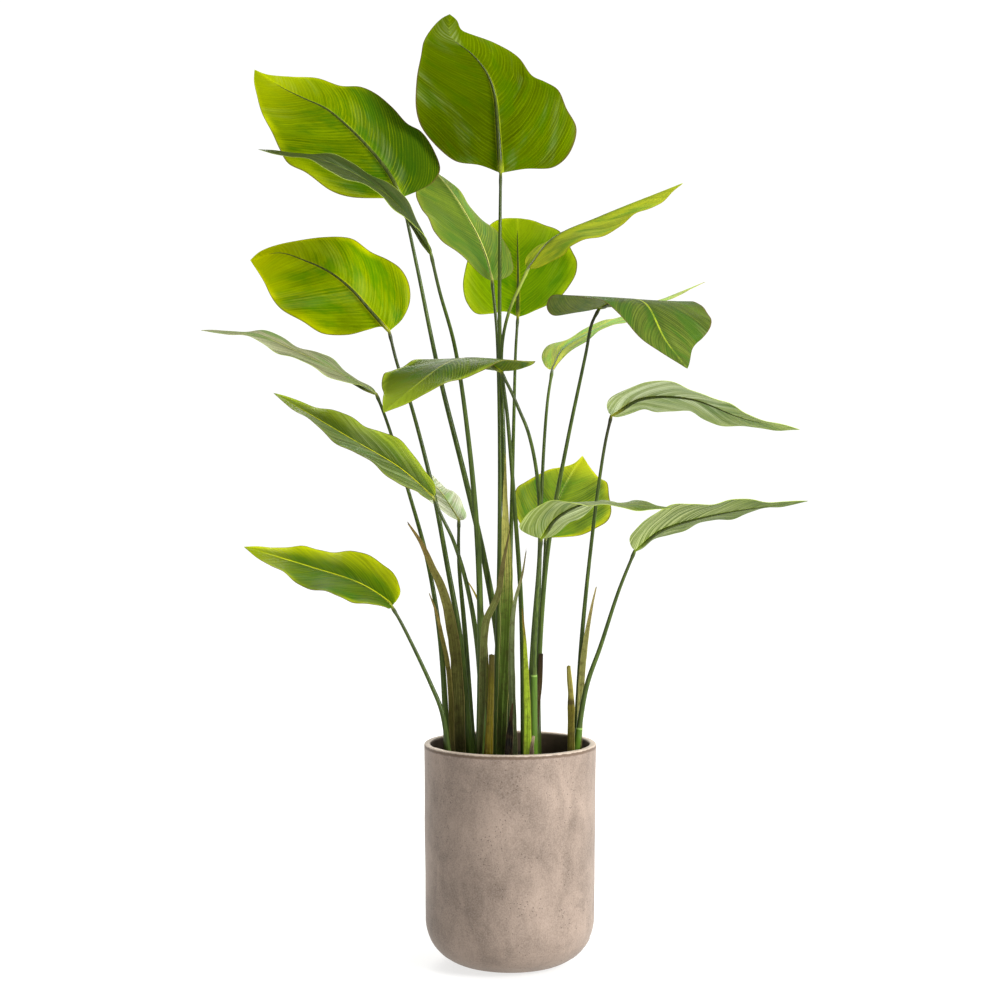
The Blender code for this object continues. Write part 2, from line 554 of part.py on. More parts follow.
# Each sheath or stub: its points from the top down, the foot's place, its width from the top down, its
# thickness, and its colour.
SHEATHS = {
    "brown_sheath": dict(
        path=[(-128, -28, 563), (-114, -26, 542), (-98, -23, 507), (-84, -20, 474), (-73, -17, 423),
              (-67, -17, 366)], foot=(-64, -17), width=(2, 8, 12, 14, 15, 16, 16), thick=3.2,
        color=(0.16, 0.13, 0.05)),
    "thin_sheath": dict(
        path=[(-102, -24, 474), (-94, -24, 453), (-86, -24, 419), (-80, -24, 391), (-76, -24, 355)],
        foot=(-73, -24), width=(1.2, 5, 6, 7, 7, 7), thick=2.6, color=(0.14, 0.12, 0.05)),
    "olive_sheath": dict(
        path=[(-55, 2, 490), (-46, 3, 475), (-37, 4, 454), (-32, 5, 413)], foot=(-31, 6),
        width=(1.2, 5, 7, 7, 7), thick=2.6, color=(0.18, 0.17, 0.05)),
    "bent_sheath": dict(
        path=[(-1, -40, 554), (-8, -48, 519), (-17, -58, 472), (-29, -63, 446), (-33, -65, 414),
              (-35, -66, 345)], foot=(-39, -66), width=(1.5, 6, 9, 9, 8, 7, 6), thick=2.6,
        color=(0.16, 0.13, 0.05)),
    "cut_stub": dict(
        path=[(-23, -72, 402), (-24, -72, 358)], foot=(-28, -72), width=(7, 9, 12), thick=6.5,
        color=(0.25, 0.22, 0.06)),
    "middle_sheath": dict(
        path=[(-6, -12, 649), (-6, -14, 568), (-4, -18, 492), (-5, -24, 416), (-9, -30, 341)],
        foot=(-12, -34), width=(1.5, 7, 14, 17, 15, 13, 12), thick=3.4, color=(0.13, 0.19, 0.05)),
    "dark_sheath": dict(
        path=[(20, -46, 530), (15, -46, 500), (6, -46, 466), (2, -46, 418)], foot=(5, -46),
        width=(1.2, 5, 8, 9, 10), thick=3.0, color=(0.06, 0.09, 0.03)),
    "lime_sheath": dict(
        path=[(15, -64, 457), (18, -64, 420), (21, -64, 345)], foot=(22, -64),
        width=(1.5, 6, 9, 12), thick=3.2, color=(0.36, 0.52, 0.05)),
    "dark_spike": dict(
        path=[(3, -66, 341), (0, -66, 314)], foot=(-3, -66), width=(1.5, 9, 10), thick=3.0,
        color=(0.06, 0.04, 0.02)),
    "small_stub": dict(
        path=[(29, -80, 302), (27, -80, 291)], foot=(26, -80), width=(3, 6, 7), thick=4.0,
        color=(0.12, 0.09, 0.05)),
    "dark_stub": dict(
        path=[(39, -14, 397), (38, -14, 364), (34, -14, 323)], foot=(31, -14), width=(6, 7, 7, 6),
        thick=4.5, color=(0.08, 0.05, 0.02)),
    "split_stub": dict(
        path=[(74, -28, 383), (77, -28, 340)], foot=(77, -28), width=(5, 8, 9), thick=6.0,
        color=(0.24, 0.24, 0.08)),
    "tan_sheath": dict(
        path=[(110, 4, 480), (105, 4, 458), (99, 4, 426), (95, 4, 398), (91, 4, 349)], foot=(89, 4),
        width=(1.5, 5, 8, 8, 7, 5), thick=2.2, color=(0.50, 0.44, 0.20)),
}


clear_scene()
make_pot()
holes = []
leaf_finish = material("leaf", (0.16, 0.30, 0.05), 0.45)
for leaf_name, leaf_values in LEAVES.items():
    holes.append(make_leaf(leaf_name, leaf_values, leaf_finish))
for sheath_name, sheath_values in SHEATHS.items():
    sheath_finish = material(sheath_name, sheath_values["color"], 0.6)
    holes.append(make_sheath(sheath_name, sheath_values, sheath_finish))
make_soil(holes)
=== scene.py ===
import itertools
import math
import random

import bmesh
import bpy
import numpy as np
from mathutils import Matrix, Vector, noise


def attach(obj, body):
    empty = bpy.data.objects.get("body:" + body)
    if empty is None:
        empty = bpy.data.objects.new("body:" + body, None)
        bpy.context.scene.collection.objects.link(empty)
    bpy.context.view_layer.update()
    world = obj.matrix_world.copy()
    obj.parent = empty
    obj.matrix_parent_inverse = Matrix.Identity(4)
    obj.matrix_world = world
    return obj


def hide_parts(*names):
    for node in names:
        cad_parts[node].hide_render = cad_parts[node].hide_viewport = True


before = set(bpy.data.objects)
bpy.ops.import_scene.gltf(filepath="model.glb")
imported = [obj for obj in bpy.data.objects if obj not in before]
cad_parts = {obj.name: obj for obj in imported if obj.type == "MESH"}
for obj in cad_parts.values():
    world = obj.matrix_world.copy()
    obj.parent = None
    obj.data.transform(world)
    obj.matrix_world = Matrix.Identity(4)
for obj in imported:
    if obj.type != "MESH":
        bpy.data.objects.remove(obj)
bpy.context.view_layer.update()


# Pot. A straight-sided planter cast in one piece from taupe concrete, with a big rounded foot and a plain
# lip. The cast skin is bare: matt, clouded, pitted by trapped air, and rubbed pale along the lip.

POT_HEIGHT = 0.2822
POT_RIM_RADIUS = 0.1103
POT_FOOT_RADIUS = 0.1085
POT_CORNER = 0.058
POT_WALL = 0.0085
POT_FLOOR = 0.012
LIP_ROUND = 0.0022
POT_SIDES = 320
POT_PITS = 46
CAST_WANDER = 0.0004


class Paint:
    """One value in a material's node tree, which can be used in sums and products."""

    def __init__(self, tree, socket=None):
        self.tree = tree
        self.socket = socket

    def node(self, kind, settings=None, inputs=None, output=0):
        """Adds a node: its settings first, then the values or links of its sockets."""
        made = self.tree.nodes.new(kind)
        for name, value in (settings or {}).items():
            setattr(made, name, value)
        for name, value in (inputs or {}).items():
            if isinstance(value, Paint):
                self.tree.links.new(value.socket, made.inputs[name])
            else:
                made.inputs[name].default_value = value
        return Paint(self.tree, made.outputs[output] if made.outputs else None)

    def math(self, operation, first, second):
        return self.node("ShaderNodeMath", {"operation": operation}, {0: first, 1: second})

    def __add__(self, other):
        return self.math("ADD", self, other)

    __radd__ = __add__

    def __sub__(self, other):
        return self.math("SUBTRACT", self, other)

    def __rsub__(self, other):
        return self.math("SUBTRACT", other, self)

    def __mul__(self, other):
        return self.math("MULTIPLY", self, other)

    __rmul__ = __mul__

    def __truediv__(self, other):
        return self.math("DIVIDE", self, other)

    def __pow__(self, other):
        return self.math("POWER", self, other)

    def rise(self, start, stop):
        """0 up to start, 1 from stop on, and smooth in between. It falls if stop is the lower one."""
        return self.node("ShaderNodeMapRange", {"interpolation_type": "SMOOTHSTEP"},
                         {"Value": self, "From Min": start, "From Max": stop}, "Result")

    def mix(self, low, high):
        """The colour low where this value is 0, and high where it is 1."""
        low, high = [(*c, 1.0) if isinstance(c, tuple) else c for c in (low, high)]
        return self.node("ShaderNodeMix", {"data_type": "RGBA"}, {0: self, 6: low, 7: high}, 2)

    def coated(self, *coats):
        """This colour under coats, each given as how far it covers and its colour."""
        made = self
        for cover, color in coats:
            made = cover.mix(made, color)
        return made

    def cloud(self, size, detail=4.0, rough=0.55, where=None, warp=0.0):
        """Even cloudy noise from 0 to 1 whose blotches are about size across, in metres."""
        spot = where or self.node("ShaderNodeTexCoord", output="Object")
        return self.node("ShaderNodeTexNoise", None,
                         {"Vector": spot, "Scale": 1 / size, "Detail": detail, "Roughness": rough,
                          "Distortion": warp}, "Fac")

    def axis(self, letter):
        """One coordinate of this vector."""
        return self.node("ShaderNodeSeparateXYZ", None, {0: self}, letter)

    def map(self, name):
        """One of the piece's own surface maps."""
        return self.node("ShaderNodeUVMap", {"uv_map": name})

    def vector(self, x, y, z=0.0):
        return self.node("ShaderNodeCombineXYZ", None, {"X": x, "Y": y, "Z": z})

    def bump(self, height, strength):
        """A surface normal with the relief of height, in metres."""
        return self.node("ShaderNodeBump", None, {"Height": height, "Strength": strength, "Distance": 1.0})

    def surface(self, shader):
        self.node("ShaderNodeOutputMaterial", None, {"Surface": shader})


def new_finish(name):
    finish = bpy.data.materials.new(name)
    finish.use_nodes = True
    finish.node_tree.nodes.clear()
    return finish, Paint(finish.node_tree)


def new_object(name, data):
    made = bpy.data.objects.new(name, data)
    bpy.context.scene.collection.objects.link(made)
    return made


def new_piece(name, points, faces, finish, maps=None, sharp=50):
    """A mesh piece with smooth shading, and surface maps given point by point."""
    mesh = bpy.data.meshes.new(name)
    mesh.from_pydata([tuple(p) for p in points], [], faces)
    shell = bmesh.new()
    shell.from_mesh(mesh)
    bmesh.ops.recalc_face_normals(shell, faces=shell.faces)
    shell.to_mesh(mesh)
    shell.free()
    mesh.materials.append(finish)
    corners = np.empty(len(mesh.loops), int)
    mesh.loops.foreach_get("vertex_index", corners)
    for map_name, values in (maps or {}).items():
        layer = mesh.uv_layers.new(name=map_name)
        layer.data.foreach_set("uv", np.asarray(values, np.float32)[corners].ravel())
    mesh.shade_smooth()
    mesh.set_sharp_from_angle(angle=math.radians(sharp))
    piece = new_object(name, mesh)
    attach(piece, "root")
    return piece


def round_spot(radius, turn, height):
    """The place at a distance from the pot's axis, at a turn in radians, and at a height."""
    return Vector((radius * math.cos(turn), radius * math.sin(turn), height))


def arc(center, radius, start, stop, steps):
    """Points of a round corner in the (radius, height) plane; angles in degrees."""
    turns = np.radians(np.linspace(start, stop, steps + 1))
    return [(center[0] + radius * math.cos(a), center[1] + radius * math.sin(a)) for a in turns]


def straight(start, stop, steps):
    """Points between two corners of a profile, without the corners."""
    shares = np.linspace(0, 1, steps + 1)[1:-1]
    return [(start[0] + (stop[0] - start[0]) * s, start[1] + (stop[1] - start[1]) * s) for s in shares]


def ring_faces(first, rings, sides):
    """Faces between each ring of points and the next, where first is the first ring's first point."""
    return [(low + k, low + (k + 1) % sides, low + sides + (k + 1) % sides, low + sides + k)
            for low in range(first, first + (rings - 1) * sides, sides) for k in range(sides)]


def turned_faces(rings, sides):
    """Faces round a stack of rings that starts and ends in a single point."""
    faces = ring_faces(1, rings, sides)
    last = 1 + rings * sides
    for k in range(sides):
        nxt = (k + 1) % sides
        faces.append((0, 1 + nxt, 1 + k))
        faces.append((last, last - sides + k, last - sides + nxt))
    return faces


pot_outer_corner = arc((POT_FOOT_RADIUS - POT_CORNER, POT_CORNER), POT_CORNER, -90, 0, 30)
pot_inner = POT_RIM_RADIUS - POT_WALL
pot_lip_out = arc((POT_RIM_RADIUS - LIP_ROUND, POT_HEIGHT - LIP_ROUND), LIP_ROUND, 0, 90, 6)
pot_lip_in = arc((pot_inner + LIP_ROUND, POT_HEIGHT - LIP_ROUND), LIP_ROUND, 90, 180, 6)
pot_inner_corner = arc((pot_inner - POT_CORNER + POT_WALL, POT_FLOOR + POT_CORNER - POT_WALL),
                       POT_CORNER - POT_WALL, 0, -90, 8)
pot_profile = (straight((0, 0), pot_outer_corner[0], 8) + pot_outer_corner
               + straight(pot_outer_corner[-1], pot_lip_out[0], 96) + pot_lip_out
               + straight(pot_lip_out[-1], pot_lip_in[0], 4) + pot_lip_in
               + straight(pot_lip_in[-1], pot_inner_corner[0], 24) + pot_inner_corner)

random.seed(11)
pot_pits = []
for pit in range(POT_PITS):
    turn = random.uniform(-math.pi, math.pi)
    level = random.choice([random.uniform(0.20, 0.272), random.uniform(0.02, 0.20)])
    pot_pits.append((round_spot(POT_RIM_RADIUS - 0.0008, turn, level),
                     random.uniform(0.0014, 0.0032), random.uniform(0.0003, 0.0008)))

pot_points = [(0, 0, 0)]
for radius, height in pot_profile:
    for k in range(POT_SIDES):
        spot = round_spot(radius, 2 * math.pi * k / POT_SIDES, height)
        loose = min(1.0, max(0.0, height / 0.01))
        swell = noise.noise(spot * 14) * 0.0006 + noise.noise(spot * 90) * 0.00012
        lip_wear = max(0.0, noise.noise(spot * 45 + Vector((3, 1, 2)))) * 0.0009
        top = 1.0 if height > POT_HEIGHT - LIP_ROUND - 0.0002 else 0.0
        if radius > pot_inner + 0.006 or height < POT_HEIGHT - 0.004:
            for place, reach, depth in pot_pits:
                away = (spot - place).length
                if away < reach:
                    swell -= depth * (1 - (away / reach) ** 2)
        outward = Vector((spot.x, spot.y, 0)).normalized()
        if radius < pot_inner + 0.001 and height > POT_FLOOR:
            outward = -outward * 0.3
        spot += outward * (swell - CAST_WANDER) * loose
        spot.z -= lip_wear * top
        pot_points.append(spot)
pot_points.append((0, 0, POT_FLOOR))

concrete, paint = new_finish("concrete")
spot = paint.node("ShaderNodeTexCoord", output="Object")
level = spot.axis("Z")
out = (spot.axis("X") ** 2.0 + spot.axis("Y") ** 2.0) ** 0.5
clouds = paint.cloud(0.095, 5, 0.60, spot, 0.4)
smears = paint.cloud(1.0, 5, 0.64, paint.vector(spot.axis("X") * 40, spot.axis("Y") * 40, level * 18), 0.7)
sand = paint.cloud(0.0019, 3, 0.75, spot)
grit = paint.cloud(0.0045, 3, 0.6, spot)
pores = paint.node("ShaderNodeTexVoronoi", None, {"Vector": spot, "Scale": 230.0}, "Distance")
pore_zone = paint.cloud(0.03, 3, 0.6, spot).rise(0.44, 0.60)
pore = pores.rise(0.24, 0.08) * pore_zone
tone = clouds.rise(0.32, 0.68) * 0.55 + smears.rise(0.30, 0.70) * 0.45
damp = level.rise(0.055, 0.0) * smears.rise(0.3, 0.7)
chips = paint.cloud(0.007, 4, 0.7, spot)
below_top = POT_HEIGHT - level
ragged = below_top - (chips - 0.5) * 0.0032
# A dark ragged line just under the lip's outer edge: partly a brown stain, partly painted shade under the
# rounded lip.
lip_line = ragged.rise(0.0062, 0.0042) * ragged.rise(0.0010, 0.0026) * out.rise(0.1085, 0.1092)
worn = below_top.rise(0.030, 0.004) * chips.rise(0.60, 0.70)
lip = ragged.rise(0.0020, 0.0010)
# Painted shade: the inner wall above the soil is coloured far darker than the concrete outside, standing for
# the shade that falls inside the pot.
inner_wall_shade = out.rise(pot_inner + 0.0012, pot_inner + 0.0004) * below_top.rise(0.001, 0.004)
inner_wall_shade = inner_wall_shade * level.rise(0.15, 0.20)
body = tone.mix((0.136, 0.101, 0.078), (0.308, 0.236, 0.188)).coated(
    (sand.rise(0.40, 0.66) * 0.26, (0.44, 0.355, 0.295)),
    (sand.rise(0.46, 0.34) * 0.24, (0.150, 0.108, 0.080)),
    (grit.rise(0.60, 0.70) * 0.28, (0.170, 0.122, 0.090)),
    (pore * 0.75, (0.085, 0.058, 0.042)),
    (damp * 0.35, (0.20, 0.15, 0.11)),
    (lip_line * (0.60 + 0.4 * smears), (0.100, 0.062, 0.038)),
    (worn * 0.55, (0.130, 0.086, 0.058)),
    (lip * (0.35 + 0.4 * smears), (0.60, 0.50, 0.40)),
    (inner_wall_shade, tone.mix((0.040, 0.027, 0.017), (0.110, 0.078, 0.050))))
relief = sand * 0.00016 + grit * 0.0003 + smears * 0.0006 - pore * 0.0006
cast = paint.node("ShaderNodeBsdfPrincipled", None, {
    "Base Color": body, "Roughness": 0.74 + tone * 0.12, "Specular IOR Level": 0.12,
    "Coat Weight": 0.35, "Coat Roughness": 0.32,
    "Normal": paint.bump(relief, 0.8)})
paint.surface(cast)

pot = new_piece("pot_cast", pot_points, turned_faces(len(pot_profile), POT_SIDES), concrete)
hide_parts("pot")


# Soil. Dark potting soil, filled to a little under the lip and pressed down by hand round the stalks.
# Its surface is loose: a low uneven bed with crumbs and bits of bark lying on it.

SOIL_TOP = 0.2537
SOIL_UNDERSIDE = 0.22
SOIL_GAP = 0.0004
SOIL_RINGS = 70
SOIL_SIDES = 180
CRUMBS = 420

soil_radius = pot_inner - SOIL_GAP
soil_points = [(0, 0, SOIL_TOP)]
soil_turns = [2 * math.pi * k / SOIL_SIDES for k in range(SOIL_SIDES)]
for ring in range(1, SOIL_RINGS + 1):
    for turn in soil_turns:
        x, y, _ = round_spot(soil_radius * ring / SOIL_RINGS, turn, 0)
        heap = noise.noise(Vector((x, y, 0)) * 28) * 0.0035 + noise.noise(Vector((x, y, 1)) * 110) * 0.0022
        heap += noise.noise(Vector((x, y, 2)) * 320) * 0.0011
        soil_points.append((x, y, SOIL_TOP + heap))
soil_points += [round_spot(soil_radius, turn, SOIL_UNDERSIDE) for turn in soil_turns]
soil_points.append((0, 0, SOIL_UNDERSIDE))
soil_faces = [tuple(reversed(f)) for f in turned_faces(SOIL_RINGS + 1, SOIL_SIDES)]

# A crumb is a lumpy ball of twenty faces, each of which joins three corners that are neighbours.
random.seed(5)
golden = (1 + 5 ** 0.5) / 2
crumb_corners = [Vector(np.roll((small, big, 0), turn)).normalized()
                 for turn in range(3) for big in (golden, -golden) for small in (-1, 1)]
crumb_faces = [three for three in itertools.combinations(range(12), 3)
               if all((crumb_corners[a] - crumb_corners[b]).length < 1.2
                      for a, b in itertools.combinations(three, 2))]
for crumb in range(CRUMBS):
    turn = random.uniform(0, 2 * math.pi)
    radius = (soil_radius - 0.004) * random.random() ** 0.5
    size = random.uniform(0.0009, 0.0032)
    stretch = Vector((random.uniform(0.7, 1.8), random.uniform(0.7, 1.3), random.uniform(0.5, 0.9)))
    lean = Vector([random.uniform(-1, 1) for _ in range(3)]).to_track_quat("X", "Z")
    place = round_spot(radius, turn, SOIL_TOP + 0.001)
    first = len(soil_points)
    for corner in crumb_corners:
        rough = random.uniform(0.75, 1.15)
        soil_points.append(place + lean @ (corner * stretch) * size * rough)
    soil_faces += [tuple(first + c for c in face) for face in crumb_faces]

potting_soil, paint = new_finish("potting_soil")
clods = paint.cloud(0.012, 5, 0.7)
grains = paint.cloud(0.0012, 4, 0.7)
earth = clods.rise(0.3, 0.7).mix((0.010, 0.0075, 0.006), (0.045, 0.032, 0.022)).coated(
    (grains.rise(0.58, 0.72) * 0.5, (0.12, 0.085, 0.055)))
loose_earth = paint.node("ShaderNodeBsdfPrincipled", None, {
    "Base Color": earth, "Roughness": 0.93, "Specular IOR Level": 0.2,
    "Normal": paint.bump(grains * 0.0012 + clods * 0.001, 0.9)})
paint.surface(loose_earth)

soil = new_piece("soil_bed", soil_points, soil_faces, potting_soil, sharp=80)
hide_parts("soil")


# Leaves. Each grew as one piece: a long round stalk out of the soil, which runs on as a raised rib under
# a broad waxy blade. Fine veins leave the rib and curve forward to the waved margin, and the thin blade
# lets light through, so it glows yellow-green where it is lit from behind.

BLADE_THICKNESS = 0.0009
MARGIN_THICKNESS = 0.0005
WAVE_HEIGHT = 0.003
WAVES = 3
WAVE_REACH = 0.04
RIPPLE_HEIGHT = 0.0005
RIPPLES = 7.3
VEIN_HEIGHT = 0.00012
BLADE_ROWS = 120
HALF_COLUMNS = 22
STALK_ROWS = 84
RIB_ROWS = 70
STALK_SIDES = 14
STALK_TOP_RADIUS = 0.0019
STALK_GAIN = 0.0022
FOOT_SWELL = 0.0011
FOOT_SWELL_HEIGHT = 0.08
COLLAR_EDGE = 0.0012
SOCKET_SWELL = 0.0006
RIB_RADIUS = 0.0026
GROOVE_DEPTH = 0.0007
SHOULDER_HEIGHT = 0.0004
VEIN_WAVE = 0.0115
FOOT_RISE = 0.006
FOOT_DEPTH = 0.024


def unit(vectors):
    return vectors / np.linalg.norm(vectors, axis=-1, keepdims=True)


def smooth_path(points, stations):
    """A smooth curve through points in millimetres: its places in metres at stations from 0 to 1, and its
    length."""
    def blend(t, start, stop, low, high):
        return (stop - t) / (stop - start) * low + (t - start) / (stop - start) * high

    given = np.asarray(points, float) / 1000
    given = np.vstack([2 * given[0] - given[1], given, 2 * given[-1] - given[-2]])
    dense = []
    for i in range(1, len(given) - 2):
        a, b, c, d = given[i - 1:i + 3]
        t1 = math.sqrt(np.linalg.norm(b - a))
        t2 = t1 + math.sqrt(np.linalg.norm(c - b))
        t3 = t2 + math.sqrt(np.linalg.norm(d - c))
        for t in np.linspace(t1, t2, 40, endpoint=False):
            mid = blend(t, t1, t2, b, c)
            left = blend(t, 0, t2, blend(t, 0, t1, a, b), mid)
            right = blend(t, t1, t3, mid, blend(t, t2, t3, c, d))
            dense.append(blend(t, t1, t2, left, right))
    dense.append(given[-2])
    dense = np.array(dense)
    reach = np.r_[0, np.cumsum(np.linalg.norm(np.diff(dense, axis=0), axis=1))]
    where = np.asarray(stations) * reach[-1]
    return np.stack([np.interp(where, reach, dense[:, k]) for k in range(3)], axis=1), reach[-1]


def down_to_soil(points, foot, stations):
    """A smooth path from the first point down to the foot, and on into the foot's hole in the soil."""
    path, _ = smooth_path([*points, (*foot, 1000 * (SOIL_TOP + FOOT_RISE))], stations)
    return np.vstack([path, path[-1] - [0, 0, FOOT_DEPTH]])


def tube_faces(first, rings, sides):
    """Faces of a tube of rings with both ends closed, where first is the first ring's first point."""
    last = first + (rings - 1) * sides
    ends = [tuple(range(first + sides - 1, first - 1, -1)), tuple(range(last, last + sides))]
    return ring_faces(first, rings, sides) + ends


def through_three(values, t):
    """A smooth curve through three values, at the base, the middle and the tip."""
    base, middle, tip = values
    return base * (1 - t) * (1 - 2 * t) + 4 * middle * t * (1 - t) + tip * t * (2 * t - 1)


def blade_frame(leaf, t):
    """Rib points, side vectors, normals and the length of a blade at stations t."""
    rib, length = smooth_path(leaf["rib"], t)
    forward = unit(np.gradient(rib, axis=0))
    face = np.array(leaf["face"], float)
    wanted = (1 - t)[:, None] * face[0] + t[:, None] * face[1]
    normal = unit(wanted - (wanted * forward).sum(1, keepdims=True) * forward)
    return rib, np.cross(normal, forward), normal, length


def half_spread(leaf, half, t):
    """For each station the vector from the rib to the margin of one half of a blade."""
    rib, side, normal, _ = blade_frame(leaf, t)
    if "edge" in leaf:
        margin = [leaf["rib"][0]] + leaf["edge"][half] + [leaf["rib"][-1]]
        return smooth_path(margin, t)[0] - rib
    sign = 1 if half == 0 else -1
    widest, taper = leaf["shape"][half]
    before = np.sqrt(np.clip(1 - ((widest - t) / widest) ** 2, 0, 1))
    after = 1 - np.clip((t - widest) / (1 - widest), 0, 1) ** taper
    reach = (leaf["half"][half] / 1000 * np.where(t < widest, before, after))[:, None]
    fold = np.radians(through_three(leaf["fold"][half], t))[:, None]
    return reach * (sign * side * np.cos(fold) + normal * np.sin(fold))


def half_surface(leaf, half, t, shares, seed):
    """Points of one half of a blade with their distance from the rib and place along the veins."""
    rib, _, normal, length = blade_frame(leaf, t)
    spread = half_spread(leaf, half, t)
    reach = np.linalg.norm(spread, axis=1)
    hang = np.minimum(1, reach / WAVE_REACH)
    wave = WAVE_HEIGHT * np.sin(2 * math.pi * (WAVES * t + 0.3 * half)) * hang
    ripple = RIPPLE_HEIGHT * np.sin(2 * math.pi * (RIPPLES * t + 0.41 * seed + 0.5 * half)) * hang
    away = reach[:, None] * shares
    vein = (t * length)[:, None] - away * (0.85 + 0.45 * shares)
    raised = VEIN_HEIGHT * np.sin(math.pi * np.minimum(1, shares * 1.1)) ** 0.7
    up = (wave + ripple)[:, None] * shares ** 2 + raised * np.sin(2 * math.pi * vein / VEIN_WAVE)
    places = rib[:, None] + spread[:, None] * shares[:, None] + normal[:, None] * up[..., None]
    return places, away if half == 0 else -away, vein


def stalk_radius(leaf, height):
    """Thin under the blade, thicker downward, swollen at the foot, with a wrapped collar on some."""
    share = np.clip((height - SOIL_TOP) / (leaf["rib"][0][2] / 1000 - SOIL_TOP), 0, 1)
    swell = FOOT_SWELL * np.exp(-np.maximum(height - SOIL_TOP, 0) / FOOT_SWELL_HEIGHT)
    collar_top, collar = leaf.get("collar", (0, 0))
    wrapped = collar / 1000 / (1 + np.exp(np.minimum(40, (height - collar_top / 1000) / COLLAR_EDGE)))
    return STALK_TOP_RADIUS + leaf["stout"] * STALK_GAIN * (1 - share) + swell + wrapped


def carried_frames(path, side):
    """Side and cross vectors carried along a path without twist, starting from the given side vector."""
    forward = unit(np.gradient(path, axis=0))
    sides = []
    current = side
    for direction in forward:
        current = unit(current - current.dot(direction) * direction)
        sides.append(current)
    sides = np.array(sides)
    return sides, np.cross(forward, sides)


def make_leaf(name, leaf, finish, seed):
    """The blade as a thin closed shell, and the stalk that runs on under it as the rib."""
    look = leaf["look"]
    t = 0.003 + 0.987 * np.linspace(0, 1, BLADE_ROWS) ** 1.08
    shares = np.linspace(0, 1, HALF_COLUMNS + 1) ** 1.35
    halves = [half_surface(leaf, half, t, shares, seed) for half in (1, 0)]
    sheet, away, vein = [np.concatenate([one[:, :0:-1], other], axis=1) for one, other in zip(*halves)]
    share = np.abs(np.concatenate([shares[:0:-1], shares]))[None, :] + np.zeros_like(away)
    up = unit(np.cross(np.gradient(sheet, axis=0), np.gradient(sheet, axis=1)))
    thick = (BLADE_THICKNESS * (1 - share) + MARGIN_THICKNESS * share) / 2
    rib_half = 0.0009 + 0.0012 * (1 - t)[:, None]
    groove = np.exp(-(away / (0.55 * rib_half)) ** 2) * GROOVE_DEPTH * (1 - t)[:, None]
    shoulder = np.exp(-((np.abs(away) - 1.3 * rib_half) / (0.7 * rib_half)) ** 2)
    shoulder = shoulder * SHOULDER_HEIGHT * (1 - t)[:, None]
    top = sheet + up * (thick - np.minimum(groove, 0.8 * thick + 0.0002) + shoulder)[..., None]
    under = sheet - up * thick[..., None]
    count = 2 * HALF_COLUMNS + 1
    shift = BLADE_ROWS * count
    index = np.arange(shift).reshape(BLADE_ROWS, count)
    points = list(top.reshape(-1, 3)) + list(under.reshape(-1, 3))
    apex = len(points)
    tip_point, length = smooth_path(leaf["rib"], [1.0])
    points.append(tip_point[0])

    # A point of the under side comes shift places after the one above it. The border runs from the tip
    # down one margin, across the base and up the other, and the tip is closed by a fan to the apex.
    a, b = index[:-1, :-1].ravel(), index[:-1, 1:].ravel()
    c, d = index[1:, 1:].ravel(), index[1:, :-1].ravel()
    faces = list(zip(a, b, c, d))
    faces += list(zip(d + shift, c + shift, b + shift, a + shift))
    border = np.concatenate([index[::-1, 0], index[0, 1:], index[1:, -1]])
    faces += list(zip(border[1:], border[:-1], border[:-1] + shift, border[1:] + shift))
    fan = np.concatenate([index[-1], index[-1, ::-1] + shift])
    faces += [(here, ahead, apex) for here, ahead in zip(fan, np.roll(fan, -1))]

    stalk = down_to_soil(leaf["rib"][:1] + leaf["stalk"], leaf["foot"], np.linspace(0, 1, STALK_ROWS))[::-1]
    below = np.linalg.norm(stalk - stalk[-1], axis=1)
    radius = stalk_radius(leaf, stalk[:, 2]) + SOCKET_SWELL * np.exp(-((below - 0.006) / 0.004) ** 2)
    rib_t = np.linspace(0.012, 0.965, RIB_ROWS)
    rib, _, normal, _ = blade_frame(leaf, rib_t)
    rib_fade = np.clip(1 - rib_t / look["rib_end"], 0, 1) ** 1.05
    rib_radius = 0.00015 + RIB_RADIUS * look["keel"] * rib_fade
    rib_radius *= 0.78 + 0.22 * np.clip(rib_t / 0.08, 0, 1)
    depth = 0.72 * rib_radius * np.clip(rib_t / 0.06, 0, 1)
    path = np.vstack([stalk, rib - normal * depth[:, None]])
    radius = np.concatenate([radius, rib_radius])
    first_side = blade_frame(leaf, np.array([0.0, 0.02]))[1][0]
    sides, crosses = carried_frames(path[::-1], first_side)
    sides, crosses = sides[::-1], crosses[::-1]
    first = len(points)
    turn = 2 * math.pi * np.arange(STALK_SIDES) / STALK_SIDES
    spokes = sides[:, None] * np.cos(turn)[None, :, None] + crosses[:, None] * np.sin(turn)[None, :, None]
    rings = path[:, None] + radius[:, None, None] * spokes
    points += list(rings.reshape(-1, 3))
    ring_map = np.repeat(np.concatenate([-below, rib_t]), STALK_SIDES)
    wrap = np.abs(np.tile(turn / math.pi - 1, len(path)))
    lift = np.repeat(path[:, 2], STALK_SIDES)
    faces = [tuple(int(v) for v in face) for face in faces + tube_faces(first, len(path), STALK_SIDES)]

    # What each map says of the upper side, of the under side, of the apex, and of the stalk with its rib.
    along = t[:, None] + np.zeros_like(away)
    grain = np.stack([vein.ravel(), away.ravel()], 1)
    form = np.stack([along.ravel(), share.ravel()], 1)
    upper, lower = [np.tile([face, 1.0], (shift, 1)) for face in (1.0, 0.0)]
    maps = {"grain": (grain, grain, [[length, 0]], np.stack([lift, wrap * 0.01], 1)),
            "form": (form, form, [[1, 0]], np.stack([ring_map, wrap], 1)),
            "kind": (upper, lower, [[0.5, 1]], np.zeros((len(wrap), 2)))}
    maps = {key: np.concatenate(parts) for key, parts in maps.items()}
    piece = new_piece(name, points, faces, finish, maps)
    return piece


